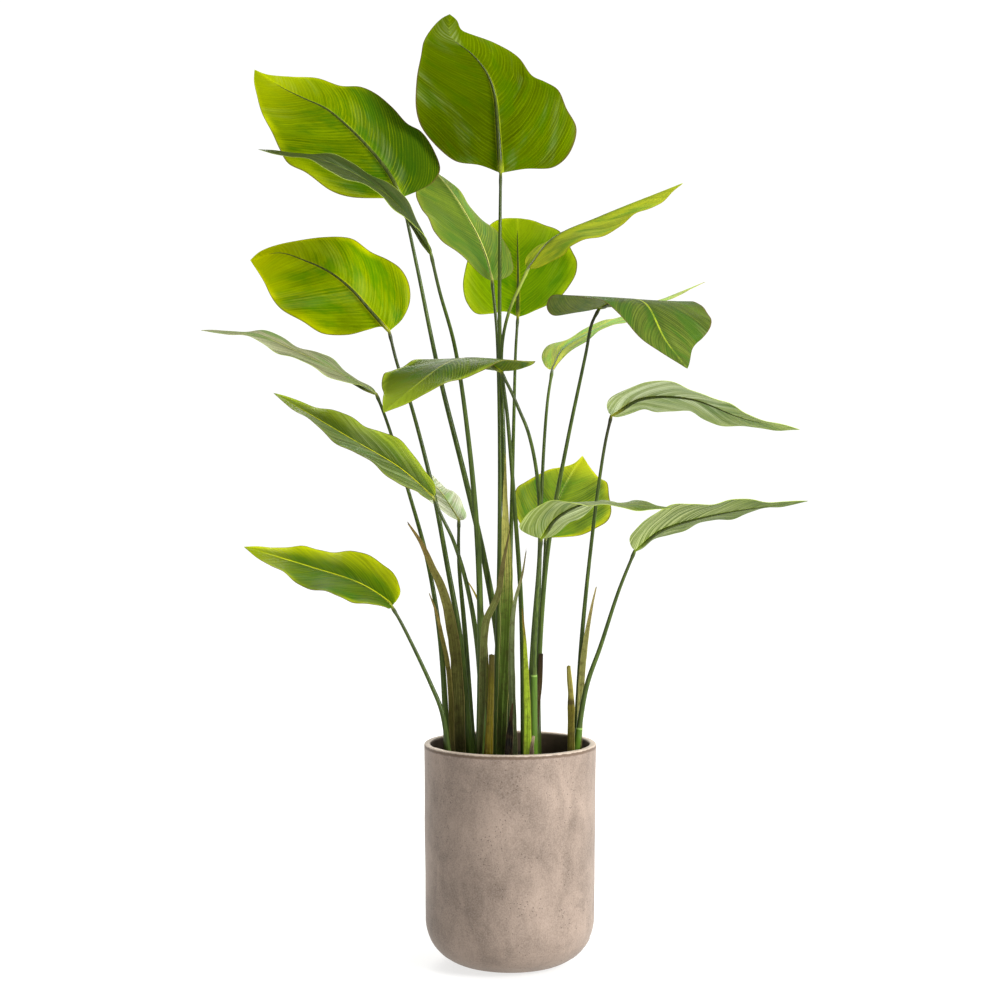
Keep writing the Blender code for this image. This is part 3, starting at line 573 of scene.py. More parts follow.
def leaf_skin(name, leaf, seed):
    """Waxy skin with fine veins on the blade, with painted sheen, painted shade and painted highlights on
    parts of it, and the plainer ribbed skin of the stalk.
    """
    look = leaf["look"]
    skin, paint = new_finish(name)
    grain, form, kind = paint.map("grain"), paint.map("form"), paint.map("kind")
    vein, away, along, share = grain.axis("X"), grain.axis("Y"), form.axis("X"), form.axis("Y")
    upper, blade = kind.axis("X").rise(0.45, 0.55), kind.axis("Y").rise(0.45, 0.55)
    far = paint.math("ABSOLUTE", away, 0.0)
    spot = paint.node("ShaderNodeTexCoord", output="Object")

    def grown(along_veins, across, shift, detail=3, rough=0.5):
        """Cloudy noise laid out by the veins. The larger the factor, the finer it is that way."""
        return paint.cloud(1.0, detail, rough, paint.vector(vein * along_veins, across, seed + shift))

    broken = grown(210, far * 15, 2, rough=0.65).rise(0.30, 0.62)
    uneven = grown(24, away * 24, 0) * 2.0 + grown(130, far * 5, 4, detail=2) * 0.8
    line = (paint.math("PINGPONG", vein / 0.0054 + uneven, 0.5) * 2).rise(0.60, 0.96)
    line = line * (0.25 + 0.75 * broken)
    faded = grown(26, away * 20, 5).rise(0.38, 0.60)
    line = line * (0.40 + 0.60 * faded)
    thread = (paint.math("PINGPONG", vein / 0.0018 + uneven * 3, 0.5) * 2).rise(0.2, 1.0)
    streak = grown(300, far * 7, 0, 4, 0.65).rise(0.34, 0.66)
    patch = grown(19, away * 22, 0.5, rough=0.55).rise(0.36, 0.64)
    painted_sheen = grown(12, away * 17, 7).rise(0.50, 0.70)
    mottle = grown(34, away * 30, 9, 4, 0.6).rise(0.46, 0.64)

    def by_half(pair):
        return away.rise(-0.001, 0.004) * pair[0] + away.rise(0.001, -0.004) * pair[1]

    # Painted sheen: pale grey-green patches, and a sheen over either half, put into the colour in place of a
    # varying gloss. On some leaves it fades towards the tip.
    painted_sheen = (painted_sheen * look["painted_sheen"] + by_half(look["half_sheen"])) * (0.15 + 0.85 * streak.rise(0.25, 0.95))
    painted_sheen = painted_sheen * (1 - look["tip_sheen_fade"] * along.rise(0.35, 0.85))
    # Painted shade over either half of the blade, where less light falls on it. Less light passes through
    # there as well.
    half_shade = by_half(look["halves"]) * (0.6 + 0.4 * patch)
    # Painted shadow of neighbouring leaves over the base lobes. It also lets less light through and keeps
    # the yellow rim off.
    lobe_shadow = by_half(look["lobe_shadow"]) * vein.rise(0.110, 0.045) * far.rise(0.002, 0.018)
    # A yellow rim and tip, partly the leaf's own yellowing and partly a painted glow of backlight through
    # the tip and margin. Added to it is a painted highlight over the outer part of either half.
    rim = share.rise(0.80, 1.0) * (0.25 + 0.75 * patch)
    tip = along.rise(0.58, 0.99)
    lit = by_half(look["lit"]) * share.rise(0.25, 1.0) * (0.5 + 0.5 * streak)
    ripe_and_painted_light = (rim * 0.7 + tip * 0.5) * look["ripe_and_painted_light"] + lit
    keel = paint.math("MAXIMUM", 1 - along / look["rib_end"], 0.0) * look["keel"]

    deep, fresh, bright, shade, pale, rib = [
        tuple(min(0.65, c * k) for c, k in zip(look[part], look["tint"]))
        for part in ("deep", "fresh", "bright", "shade", "pale", "rib")]
    grained = patch * 0.4 + streak * 0.6
    lines, threads = line * look["vein"], thread * look["vein"]
    rib_line = (far - keel * 0.0016).rise(0.0010, 0.0002) * along.rise(0.98, 0.75)
    top_skin = grained.mix(deep, fresh).coated(
        (lines, bright), (threads, deep),
        (far.rise(0.0008, 0.0024) * far.rise(0.0140, 0.0030) * 0.5, deep),
        (rib_line * look["shine"], rib),
        # Painted shade down the groove in the middle of the rib on the upper side.
        (far.rise(0.00055, 0.0002) * along.rise(1.0, 0.8) * 0.4, deep))
    # A lime band along the rib on the under side: partly the rib's own colour, partly a painted highlight on
    # its lit edges.
    halo = (far - keel * RIB_RADIUS).rise(0.0022, 0.0004) * along.rise(0.80, 0.30)
    under_skin = grained.mix(shade, pale).coated((lines, bright), (threads, shade), (halo * 0.6, rib))
    blade_skin = upper.mix(under_skin, top_skin).coated(
        (mottle * 0.60, (1.3 * deep[0], 2.2 * deep[1], 1.3 * deep[2])),
        (half_shade * 0.8, deep),
        (lobe_shadow * (0.85 - 0.5 * line), deep),
        (ripe_and_painted_light * (1 - lobe_shadow), bright),
        (painted_sheen, look["sheen_color"]),
        (share.rise(0.970, 0.990) * 0.75, look["edge"]))

    fibre = paint.cloud(1.0, 3, 0.6, paint.vector(spot.axis("X") * 700, spot.axis("Y") * 700,
                                                  spot.axis("Z") * 14)).rise(0.3, 0.7)
    fleck = paint.cloud(0.006, 3, 0.7, spot).rise(0.62, 0.75)
    stalk_skin = fibre.mix((0.022, 0.040, 0.006), (0.080, 0.120, 0.016)).coated(
        (vein.rise(0.46, 0.27) * (0.35 + 0.3 * fibre), look["foot"]),
        (fleck * 0.35, (0.12, 0.10, 0.03)))
    if "collar" in leaf:
        top = leaf["collar"][0] / 1000
        wrapped = vein.rise(top + 0.001, top - 0.001)
        stalk_skin = stalk_skin.coated(
            (wrapped * (0.55 + 0.4 * fibre), (0.075, 0.155, 0.012)),
            (wrapped * vein.rise(top - 0.0025, top - 0.001), (0.240, 0.380, 0.080)))
    rib_skin = fibre.mix((0.022, 0.032, 0.004), (0.065, 0.090, 0.008))
    rib_skin = rib_skin.coated((along.rise(0.10, 0.0) * 0.35, rib))
    stalk_skin = stalk_skin.coated(
        (along.rise(-0.090, -0.004) * 0.7, look["neck"]),
        (along.rise(-0.006, 0.004), rib_skin))

    relief = line * 0.00018 + thread * 0.00005 + streak * 0.00008
    relief = relief * along.rise(0.97, 0.80)
    waxy = paint.node("ShaderNodeBsdfPrincipled", None, {
        "Base Color": blade.mix(stalk_skin, blade_skin),
        "Roughness": 0.44 + streak * 0.10 - upper * look["gloss"],
        "Specular IOR Level": look["sheen"], "Coat Weight": (1 - blade) * 0.3, "Coat Roughness": 0.22,
        "Normal": paint.bump(blade * relief + (1 - blade) * (fibre * 0.00012), 0.7)})
    light_through = paint.node("ShaderNodeBsdfTranslucent", None, {"Color": (*look["glow"], 1.0)})
    through = blade * look["clear"] * (0.46 + 0.45 * line + 0.35 * patch - 0.26 * thread)
    through = through * far.rise(0.0004, 0.0040) * (1 - 0.65 * half_shade) * (1 - 0.8 * lobe_shadow) * (1 - 0.5 * painted_sheen)
    through = through * (1 - 0.30 * mottle)
    both = paint.node("ShaderNodeMixShader", None, {0: through, 1: waxy, 2: light_through})
    paint.surface(both)
    return skin


# Besides the leaves' own colours, each look holds painted light: grey sheen patches, a sheen on either half
# with its colour, how far that sheen fades towards the tip, painted shade on either half, a painted shadow
# over the base lobes and a painted highlight on either half.
fresh_look = dict(
    tint=(1.0, 1.0, 1.0), deep=(0.022, 0.062, 0.002), fresh=(0.150, 0.280, 0.006),
    bright=(0.440, 0.540, 0.010), shade=(0.050, 0.115, 0.002), pale=(0.220, 0.360, 0.003),
    rib=(0.500, 0.650, 0.030), edge=(0.120, 0.075, 0.022), foot=(0.048, 0.078, 0.014),
    glow=(0.46, 0.64, 0.004), vein=0.75, ripe_and_painted_light=0.5, gloss=0.04, clear=0.38, sheen=0.04,
    shine=0.9, painted_sheen=0.10, sheen_color=(0.40, 0.46, 0.22), halves=(0.0, 0.0), lobe_shadow=(0.0, 0.0), half_sheen=(0.0, 0.0),
    lit=(0.0, 0.0), neck=(0.045, 0.060, 0.016), tip_sheen_fade=0.0, keel=1.0, rib_end=0.93)
dark_look = dict(
    fresh_look, deep=(0.022, 0.045, 0.004), fresh=(0.110, 0.165, 0.022), bright=(0.300, 0.400, 0.060),
    shade=(0.055, 0.085, 0.012), pale=(0.170, 0.230, 0.050), ripe_and_painted_light=0.2, clear=0.20,
    shine=0.6, painted_sheen=0.25)
silver_look = dict(
    dark_look, deep=(0.034, 0.052, 0.010), fresh=(0.180, 0.225, 0.075), shade=(0.090, 0.130, 0.026),
    pale=(0.330, 0.400, 0.160), bright=(0.400, 0.480, 0.130), edge=(0.420, 0.520, 0.090), vein=0.55,
    clear=0.14, painted_sheen=0.60, sheen_color=(0.50, 0.57, 0.33))
olive_look = dict(
    fresh_look, deep=(0.036, 0.060, 0.000), shade=(0.045, 0.075, 0.000), pale=(0.105, 0.185, 0.000),
    bright=(0.260, 0.400, 0.002), vein=0.65, ripe_and_painted_light=0.25, clear=0.26, sheen=0.0, painted_sheen=0.35, keel=1.4,
    rib_end=0.86, halves=(0.0, 0.25))
yellow_look = dict(
    fresh_look, shade=(0.070, 0.130, 0.000), pale=(0.230, 0.350, 0.002), bright=(0.540, 0.600, 0.002),
    glow=(0.54, 0.64, 0.002), ripe_and_painted_light=0.8, clear=0.44, sheen=0.0)

# Each leaf: how stout its stalk is, its look, the rib's points in millimetres from the blade's base to its
# tip, the stalk's from the blade down, the foot's place in the soil, the way the upper face looks at base
# and tip, and for the half on the left of the rib and then the one on the right: half width, fold in
# degrees at base, middle and tip, and where it is widest and how full it stays towards the tip. Broad
# leaves give the margin's own points instead. A collar is its top's height and its thickness.
LEAVES = {
    "leaf_01": dict(
        stout=1.2, look=dict(olive_look, tint=(1.02, 0.92, 0.9)),
        rib=[(-12, 10, 1009), (-15, 5, 1058), (-20, -8, 1107), (-29, -14, 1131), (-46, -22, 1152),
             (-75, -38, 1174), (-75, -60, 1196)],
        stalk=[(-13, 8, 911), (-13, 10, 790), (-9, 0, 682), (-6, -5, 516)], foot=(-8, -10),
        face=[(0, 1, 0.1), (0.1, 1, 0.3)],
        edge=([(19, 14, 1015), (56, 20, 1018), (76, 21, 1036), (85, 20, 1067), (72, 12, 1091),
               (61, 5, 1114), (44, 2, 1124), (28, -1, 1131), (11, -7, 1152), (-18, -16, 1168),
               (-48, -27, 1178), (-61, -35, 1183), (-66, -47, 1191)],
              [(-37, 13, 1019), (-69, 17, 1025), (-91, 19, 1041), (-111, 17, 1065), (-119, -4, 1088),
               (-118, -18, 1120), (-112, -26, 1152), (-108, -40, 1168), (-97, -50, 1181),
               (-85, -57, 1191)])),
    "leaf_02": dict(
        stout=1.5, look=dict(yellow_look, tint=(0.85, 0.85, 0.9), vein=0.95, ripe_and_painted_light=1.1, lobe_shadow=(1.0, 0.0)),
        rib=[(-137, 0, 977), (-154, -2, 1008), (-178, -5, 1038), (-207, -10, 1067), (-232, -14, 1087),
             (-261, -17, 1100), (-288, -20, 1113), (-321, -25, 1134)],
        stalk=[(-115, 4, 873), (-101, 8, 803), (-87, 13, 738), (-57, 22, 618), (-33, 28, 514),
               (-14, 32, 397)], foot=(-10, 32), face=[(0, 1, 0), (0, 1, 0)],
        edge=([(-116, 15, 988), (-99, 29, 1000), (-90, 38, 1017), (-97, 41, 1040), (-114, 40, 1066),
               (-132, 34, 1076), (-150, 31, 1095), (-171, 28, 1112), (-191, 21, 1120), (-216, 10, 1120),
               (-245, 5, 1129), (-277, -8, 1128), (-307, -21, 1129)],
              [(-164, 1, 976), (-204, 3, 978), (-228, 2, 986), (-259, -2, 1008), (-281, -8, 1019),
               (-292, -11, 1038), (-300, -14, 1056), (-313, -17, 1081), (-319, -21, 1104),
               (-322, -23, 1120)])),
    "leaf_03": dict(
        stout=1.4,
        look=dict(silver_look, tint=(0.39, 0.42, 0.30), painted_sheen=0.10, lit=(0.15, 0.0), sheen=0.015),
        rib=[(-97, -110, 896), (-128, -112, 944), (-164, -115, 977), (-225, -120, 1007),
             (-306, -120, 1021)],
        stalk=[(-87, -96, 852), (-69, -72, 786), (-52, -58, 669), (-41, -54, 545), (-37, -46, 418)],
        foot=(-38, -38),
        face=[(0.6, -0.3, 0.8), (0.3, -0.2, 0.9)], half=(72, 72), fold=((22, 3, 0), (-12, 0, 0)),
        shape=((0.36, 1.6), (0.36, 1.6))),
    "leaf_04": dict(
        stout=0.9,
        look=dict(fresh_look, tint=(2.2, 1.6, 5.0), halves=(0.45, 0.0), vein=0.85, painted_sheen=0.15,
                  lobe_shadow=(0.6, 0.6)),
        rib=[(-23, 30, 874), (-31, 38, 906), (-47, 55, 944), (-92, 88, 1014), (-145, 118, 1056)],
        stalk=[(-17, 24, 810), (-14, 20, 720), (-13, 16, 592), (-15, 14, 438)], foot=(-21, 14),
        face=[(0.7, -0.3, 0.5), (0.8, -0.1, 0.6)], half=(66, 56), fold=((-10, -36, -30), (25, 8, 10)),
        shape=((0.4, 1.5), (0.2, 1.3))),
    "leaf_05": dict(
        stout=0.8,
        look=dict(fresh_look, tint=(1.27, 1.32, 0.7), halves=(0.55, 0.0), lit=(0.0, 0.5), ripe_and_painted_light=0.9,
                  clear=0.54, sheen=0.0),
        rib=[(12, 248, 840), (12, 208, 897), (11, 171, 937), (10, 140, 966)],
        stalk=[(9, 236, 794), (6, 182, 696), (3, 120, 588), (0, 80, 457)], foot=(0, 50),
        face=[(0, 0.8, 0.6), (0, 0.8, 0.5)],
        edge=([(29, 246, 845), (57, 241, 859), (77, 233, 875), (91, 221, 894), (93, 208, 913),
               (82, 185, 934), (71, 169, 947), (55, 158, 955), (32, 145, 964)],
              [(-7, 246, 848), (-25, 249, 846), (-47, 253, 846), (-59, 245, 858), (-64, 231, 879),
               (-62, 216, 900), (-54, 197, 922), (-40, 174, 941), (-29, 155, 957), (-17, 146, 964)])),
    "leaf_06": dict(
        stout=0.8,
        look=dict(yellow_look, tint=(3.6, 2.6, 14.0), vein=0.6, clear=0.75, glow=(0.90, 0.92, 0.10),
                  neck=(0.42, 0.50, 0.09)),
        rib=[(23, -20, 886), (53, -20, 923), (113, -20, 951), (219, -10, 994)],
        stalk=[(-3, -20, 826), (-11, -20, 774), (-3, -20, 694), (6, -20, 581), (14, -20, 459)],
        foot=(18, -15),
        face=[(-0.4, 0, 0.9), (-0.4, -0.1, 0.9)], half=(68, 68), fold=((14, -5, -5), (-28, -20, -20)),
        shape=((0.2, 1.5), (0.4, 1.8))),
    "leaf_07": dict(
        stout=0.9,
        look=dict(dark_look, tint=(1.05, 0.97, 0.75), vein=0.50, painted_sheen=0.12, ripe_and_painted_light=0.0,
                  neck=(0.028, 0.024, 0.014)),
        rib=[(113, -20, 836), (133, -80, 842), (162, -150, 832), (183, -190, 786), (207, -205, 753)],
        stalk=[(103, -20, 816), (96, -18, 780), (73, -12, 669), (50, -5, 542), (40, 0, 439)],
        foot=(32, 0),
        face=[(-0.1, 0.1, 1), (0.1, -0.6, 0.7)], half=(87, 95), fold=((0, -10, -15), (-14, 10, 8)),
        shape=((0.5, 2.5), (0.3, 1.2))),
    "leaf_08": dict(
        stout=0.6,
        look=dict(yellow_look, tint=(9.0, 6.0, 80.0), vein=0.4, clear=0.85, glow=(0.92, 0.94, 0.20),
                  neck=(0.12, 0.17, 0.04)),
        rib=[(56, 90, 761), (70, 95, 788), (107, 110, 812), (174, 125, 844), (263, 140, 881)],
        stalk=[(50, 88, 722), (44, 82, 643), (40, 72, 531), (37, 60, 408)], foot=(37, 45),
        face=[(-0.5, 0, 0.85), (-0.4, 0, 0.9)], half=(54, 55), fold=((20, 5, -4), (-5, -9, -5)),
        shape=((0.2, 1.5), (0.36, 1.6))),
    "leaf_09": dict(
        stout=1.2, look=dict(yellow_look, tint=(1.58, 1.43, 0.45), ripe_and_painted_light=1.1, neck=(0.028, 0.030, 0.012)),
        rib=[(-155, 20, 808), (-179, 15, 835), (-203, 8, 862), (-230, 3, 883), (-261, -3, 897),
             (-292, -10, 906), (-328, -20, 896)],
        stalk=[(-145, 20, 768), (-127, 20, 714), (-99, 18, 605), (-81, 15, 511), (-64, 10, 413)],
        foot=(-51, 5), face=[(0, 1, 0), (0, 1, 0)],
        edge=([(-138, 29, 825), (-129, 37, 848), (-131, 40, 872), (-141, 38, 890), (-157, 32, 901),
               (-179, 27, 911), (-200, 24, 926), (-213, 22, 929), (-240, 13, 928), (-269, 3, 923),
               (-297, -6, 916), (-317, -13, 907)],
              [(-164, 19, 814), (-184, 22, 810), (-209, 26, 804), (-241, 28, 806), (-266, 22, 821),
               (-292, 11, 836), (-304, -5, 852), (-315, -12, 875)])),
    "leaf_10": dict(
        stout=0.9, look=dict(silver_look, tint=(2.7, 2.1, 3.7), painted_sheen=0.40, sheen=0.0),
        rib=[(-171, 8, 728), (-201, 2, 745), (-239, -3, 766), (-279, -6, 785), (-315, -9, 800),
             (-392, -15, 808)],
        stalk=[(-164, 14, 710), (-153, 24, 677), (-131, 26, 604), (-106, 8, 516), (-89, -4, 414)],
        foot=(-79, -12),
        face=[(0.3, -0.1, 0.95), (0.2, -0.1, 0.95)], half=(60, 60), fold=((5, -5, 3), (4, 4, 4)),
        shape=((0.36, 1.6), (0.36, 1.6))),
    "leaf_11": dict(
        stout=0.8,
        look=dict(dark_look, tint=(1.17, 1.15, 0.40), vein=0.90, painted_sheen=0.05, ripe_and_painted_light=1.6, shine=0.4,
                  sheen=0.015),
        rib=[(-12, -90, 754), (-37, -130, 768), (-74, -180, 761), (-115, -225, 729), (-147, -245, 701)],
        stalk=[(0, -88, 731), (11, -85, 706), (22, -82, 679), (33, -74, 626), (37, -62, 545),
               (29, -42, 418)], foot=(21, -33),
        face=[(0.1, 0.1, 1), (-0.2, -0.6, 0.7)], half=(80, 82), fold=((0, 2, 5), (0, -10, -15)),
        shape=((0.3, 1.2), (0.5, 2.2))),
    "leaf_12": dict(
        stout=1.2,
        look=dict(dark_look, tint=(1.30, 1.25, 0.40), shine=1.0, vein=0.8, half_sheen=(0.32, 0.0), ripe_and_painted_light=0.6,
                  lit=(0.0, 1.0), halves=(0.10, 0.40), keel=1.4, sheen=0.02),
        rib=[(-96, -40, 596), (-138, -45, 633), (-200, -50, 671), (-296, -50, 728)],
        stalk=[(-87, -40, 575), (-72, -40, 544), (-56, -38, 493), (-42, -33, 416)], foot=(-31, -25),
        face=[(0.5, -0.3, 0.8), (0.4, -0.3, 0.85)], half=(62, 68), fold=((4, 7, 6), (5, 5, 5)),
        shape=((0.36, 1.6), (0.36, 1.6))),
    "leaf_13": dict(
        stout=1.3,
        look=dict(silver_look, tint=(4.8, 3.7, 5.6), shine=1.0, painted_sheen=0.9, sheen_color=(0.80, 0.82, 0.68),
                  half_sheen=(0.50, 0.50)),
        rib=[(-66, 30, 566), (-91, 70, 601), (-120, 130, 626), (-149, 180, 648)],
        stalk=[(-66, 28, 514), (-58, 24, 420)], foot=(-48, 20),
        face=[(0.5, -0.4, 0.7), (0.4, -0.3, 0.85)], half=(40, 28), fold=((0, 0, 0), (0, 0, 0)),
        shape=((0.36, 1.6), (0.22, 1.5))),
    "leaf_14": dict(
        stout=1.0, collar=(376, 0.9),
        look=dict(silver_look, tint=(0.95, 1.00, 0.37), half_sheen=(0.54, 0.38), sheen_color=(0.60, 0.68, 0.34),
                  tip_sheen_fade=0.9),
        rib=[(38, -95, 548), (55, -105, 574), (91, -120, 593), (132, -135, 592), (194, -155, 587)],
        stalk=[(34, -82, 496), (30, -62, 395)], foot=(29, -50),
        face=[(-0.5, 0.4, 0.7), (0, -0.2, 1)], half=(60, 70), fold=((0, 0, 0), (8, 0, 0)),
        shape=((0.3, 1.6), (0.22, 1.5))),
    "leaf_15": dict(
        stout=0.8, look=dict(yellow_look, tint=(2.12, 1.66, 6.8), ripe_and_painted_light=1.4, shine=0.15),
        rib=[(48, 111, 538), (59, 142, 570), (74, 179, 603), (102, 239, 647)],
        stalk=[(44, 98, 470), (37, 80, 353)], foot=(34, 62), face=[(0, -0.8, 0.6), (0, -0.4, 0.9)],
        edge=([(32, 112, 541), (18, 120, 552), (10, 134, 568), (7, 149, 584), (9, 169, 600),
               (19, 184, 612), (38, 198, 621), (68, 214, 630), (90, 226, 637)],
              [(82, 111, 542), (111, 114, 548), (130, 123, 559), (137, 139, 575), (135, 160, 593),
               (133, 182, 609), (121, 200, 621), (110, 220, 634)])),
    "leaf_16": dict(
        stout=0.6,
        look=dict(silver_look, tint=(1.46, 1.50, 0.95), half_sheen=(0.42, 0.76), sheen_color=(0.70, 0.77, 0.49),
                  tip_sheen_fade=0.9, neck=(0.030, 0.022, 0.016)),
        rib=[(129, 0, 700), (165, -10, 722), (227, -20, 722), (296, -30, 696), (364, -40, 682)],
        stalk=[(122, 0, 669), (115, 2, 625), (106, 5, 554), (92, 10, 413)], foot=(84, 18),
        face=[(-0.2, 0.35, 0.93), (0.2, 0.3, 0.93)], half=(65, 65), fold=((0, 3, 8), (3, -8, -2)),
        shape=((0.5, 1.6), (0.3, 1.2))),
    "leaf_17": dict(
        stout=0.7, collar=(303, 0.7),
        look=dict(silver_look, tint=(0.55, 0.64, 0.24), half_sheen=(0.15, 0.66), sheen_color=(0.57, 0.63, 0.28),
                  tip_sheen_fade=0.9),
        rib=[(158, -20, 529), (189, -25, 555), (254, -35, 575), (373, -50, 593)],
        stalk=[(138, -20, 479), (115, -18, 408), (97, -16, 355)], foot=(82, -10),
        face=[(-0.3, 0.25, 0.93), (-0.1, 0.2, 0.97)], half=(60, 62), fold=((2, 1, 4), (12, 8, 3)),
        shape=((0.36, 1.6), (0.25, 1.6))),
    "leaf_18": dict(
        stout=0.5,
        look=dict(fresh_look, tint=(1.22, 1.09, 0.3), halves=(0.45, 0.45), lit=(0.0, 1.0), ripe_and_painted_light=0.8,
                  shine=1.0, keel=1.2, sheen=0.02),
        rib=[(-150, -20, 458), (-155, -21, 464), (-190, -25, 487), (-253, -30, 509), (-335, -40, 535)],
        stalk=[(-140, -20, 441), (-127, -22, 416), (-101, -29, 362), (-86, -33, 325)], foot=(-76, -36),
        face=[(0.3, -0.4, 0.85), (0.25, -0.4, 0.85)], half=(60, 62), fold=((13, 3, 3), (15, 5, 5)),
        shape=((0.36, 1.9), (0.2, 1.6))),
}

for number, (leaf_name, leaf_values) in enumerate(LEAVES.items()):
    leaf_finish = leaf_skin(leaf_name + "_skin", leaf_values, number * 3.7)
    leaf = make_leaf("blade_and_stalk_" + leaf_name[-2:], leaf_values, leaf_finish, number)
    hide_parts(leaf_name)


# Sheaths and stubs. Old leaf bases that once wrapped the stalks, now dried to thin fibrous strips that
# taper to a torn point, and the short cut ends of leaves that were taken off. They stand in the soil.

SHEATH_RINGS = 90
SHEATH_SIDES = 20
TORN_RINGS = 10


def sheath_skin(name, sheath, seed):
    """Dry fibrous skin: streaks along the strip with painted shade and painted highlights, green at the foot
    and darkened there with painted shade, brown and papery at the end.
    """
    root, body, tip = sheath["root"], sheath["body"], sheath["tip"]
    dry_to = sheath.get("dry_to", 0.26)
    skin, paint = new_finish(name)
    strip = paint.map("strip")
    along, across = strip.axis("X"), strip.axis("Y")
    run = paint.cloud(1.0, 4, 0.65, paint.vector(across * 9, along * 2.2, seed)).rise(0.3, 0.7)
    fibre = paint.cloud(1.0, 3, 0.6, paint.vector(across * 38, along * 5, seed + 3)).rise(0.3, 0.7)
    blotch = paint.cloud(0.007, 4, 0.7).rise(0.45, 0.72)
    worn = along + (run - 0.5) * 0.22
    dried = worn.rise(dry_to, dry_to - 0.20)
    # The foot colour is partly the strip's own green and partly painted shade, where the stalks crowd
    # together near the soil.
    tone = worn.rise(0.30, 0.75).mix(body, root).coated(
        (dried, tip),
        # Dark fibres and pale streaks: partly the strip's own grain, partly painted shade and painted
        # highlights. The strip is also darker just above the soil.
        (fibre * (0.55 - 0.30 * dried), tuple(0.30 * c for c in body)),
        (run.rise(0.55, 0.9) * 0.55, tuple(min(1.0, 2.0 * c + 0.03) for c in body)),
        (blotch * (0.6 - 0.25 * dried), (0.045, 0.028, 0.010)),
        (across.rise(0.86, 1.0) * 0.45, tuple(min(1.0, 1.5 * c + 0.05) for c in tip)),
        (along.rise(0.985, 0.94) * along.rise(0.80, 0.94) * 0.5, (0.030, 0.022, 0.012)))
    if "knot" in sheath:
        knot = sheath["knot"]
        ring = along.rise(knot - 0.04, knot) * along.rise(knot + 0.05, knot + 0.02)
        tone = tone.coated((ring * (0.5 + 0.5 * fibre), (0.040, 0.026, 0.012)))
    dry = paint.node("ShaderNodeBsdfPrincipled", None, {
        "Base Color": tone, "Roughness": 0.50 + fibre * 0.2, "Specular IOR Level": 0.04,
        "Normal": paint.bump(fibre * 0.0003 + run * 0.0004, 0.8)})
    paint.surface(dry)
    return skin


def make_sheath(name, sheath, finish, seed):
    """A strip that cups round the clump, with uneven edges and a torn or cut end."""
    stations = np.linspace(0, 1, SHEATH_RINGS) ** 1.1
    path = down_to_soil(sheath["path"], sheath["foot"], stations)
    stations = np.append(stations, 1.0)
    sides, crosses = carried_frames(path, np.array([1.0, 0.0, 0.0]))
    width = np.interp(stations, np.linspace(0, 1, len(sheath["width"])), sheath["width"]) / 2000
    thick = np.minimum(width, sheath["thick"] / 2000)
    cup = min(0.9, 2.4 / sheath["thick"])
    points, strip = [], []
    for k in range(len(path)):
        for n in range(SHEATH_SIDES):
            turn = 2 * math.pi * n / SHEATH_SIDES
            across, deep = math.cos(turn), math.sin(turn)
            ragged = 1 + 0.10 * noise.noise(Vector((path[k][2] * 60, seed, across * 0.6)))
            bow = cup * (across ** 2 - 0.4)
            ridge = 0.10 * math.sin(9 * across + seed)
            place = (path[k] + sides[k] * width[k] * across * ragged
                     + crosses[k] * thick[k] * (deep * (1 - 0.45 * cup) + bow * 0.6 + ridge * abs(deep)))
            if k < TORN_RINGS:
                tear = noise.noise(Vector((across * 3.1, deep * 1.3, seed * 2.1)))
                place = place + (path[0] - path[4]) * tear * 0.8 * (1 - k / TORN_RINGS)
            points.append(place)
            strip.append((stations[k], abs(across)))
    return new_piece(name, points, tube_faces(0, len(path), SHEATH_SIDES), finish, {"strip": strip})
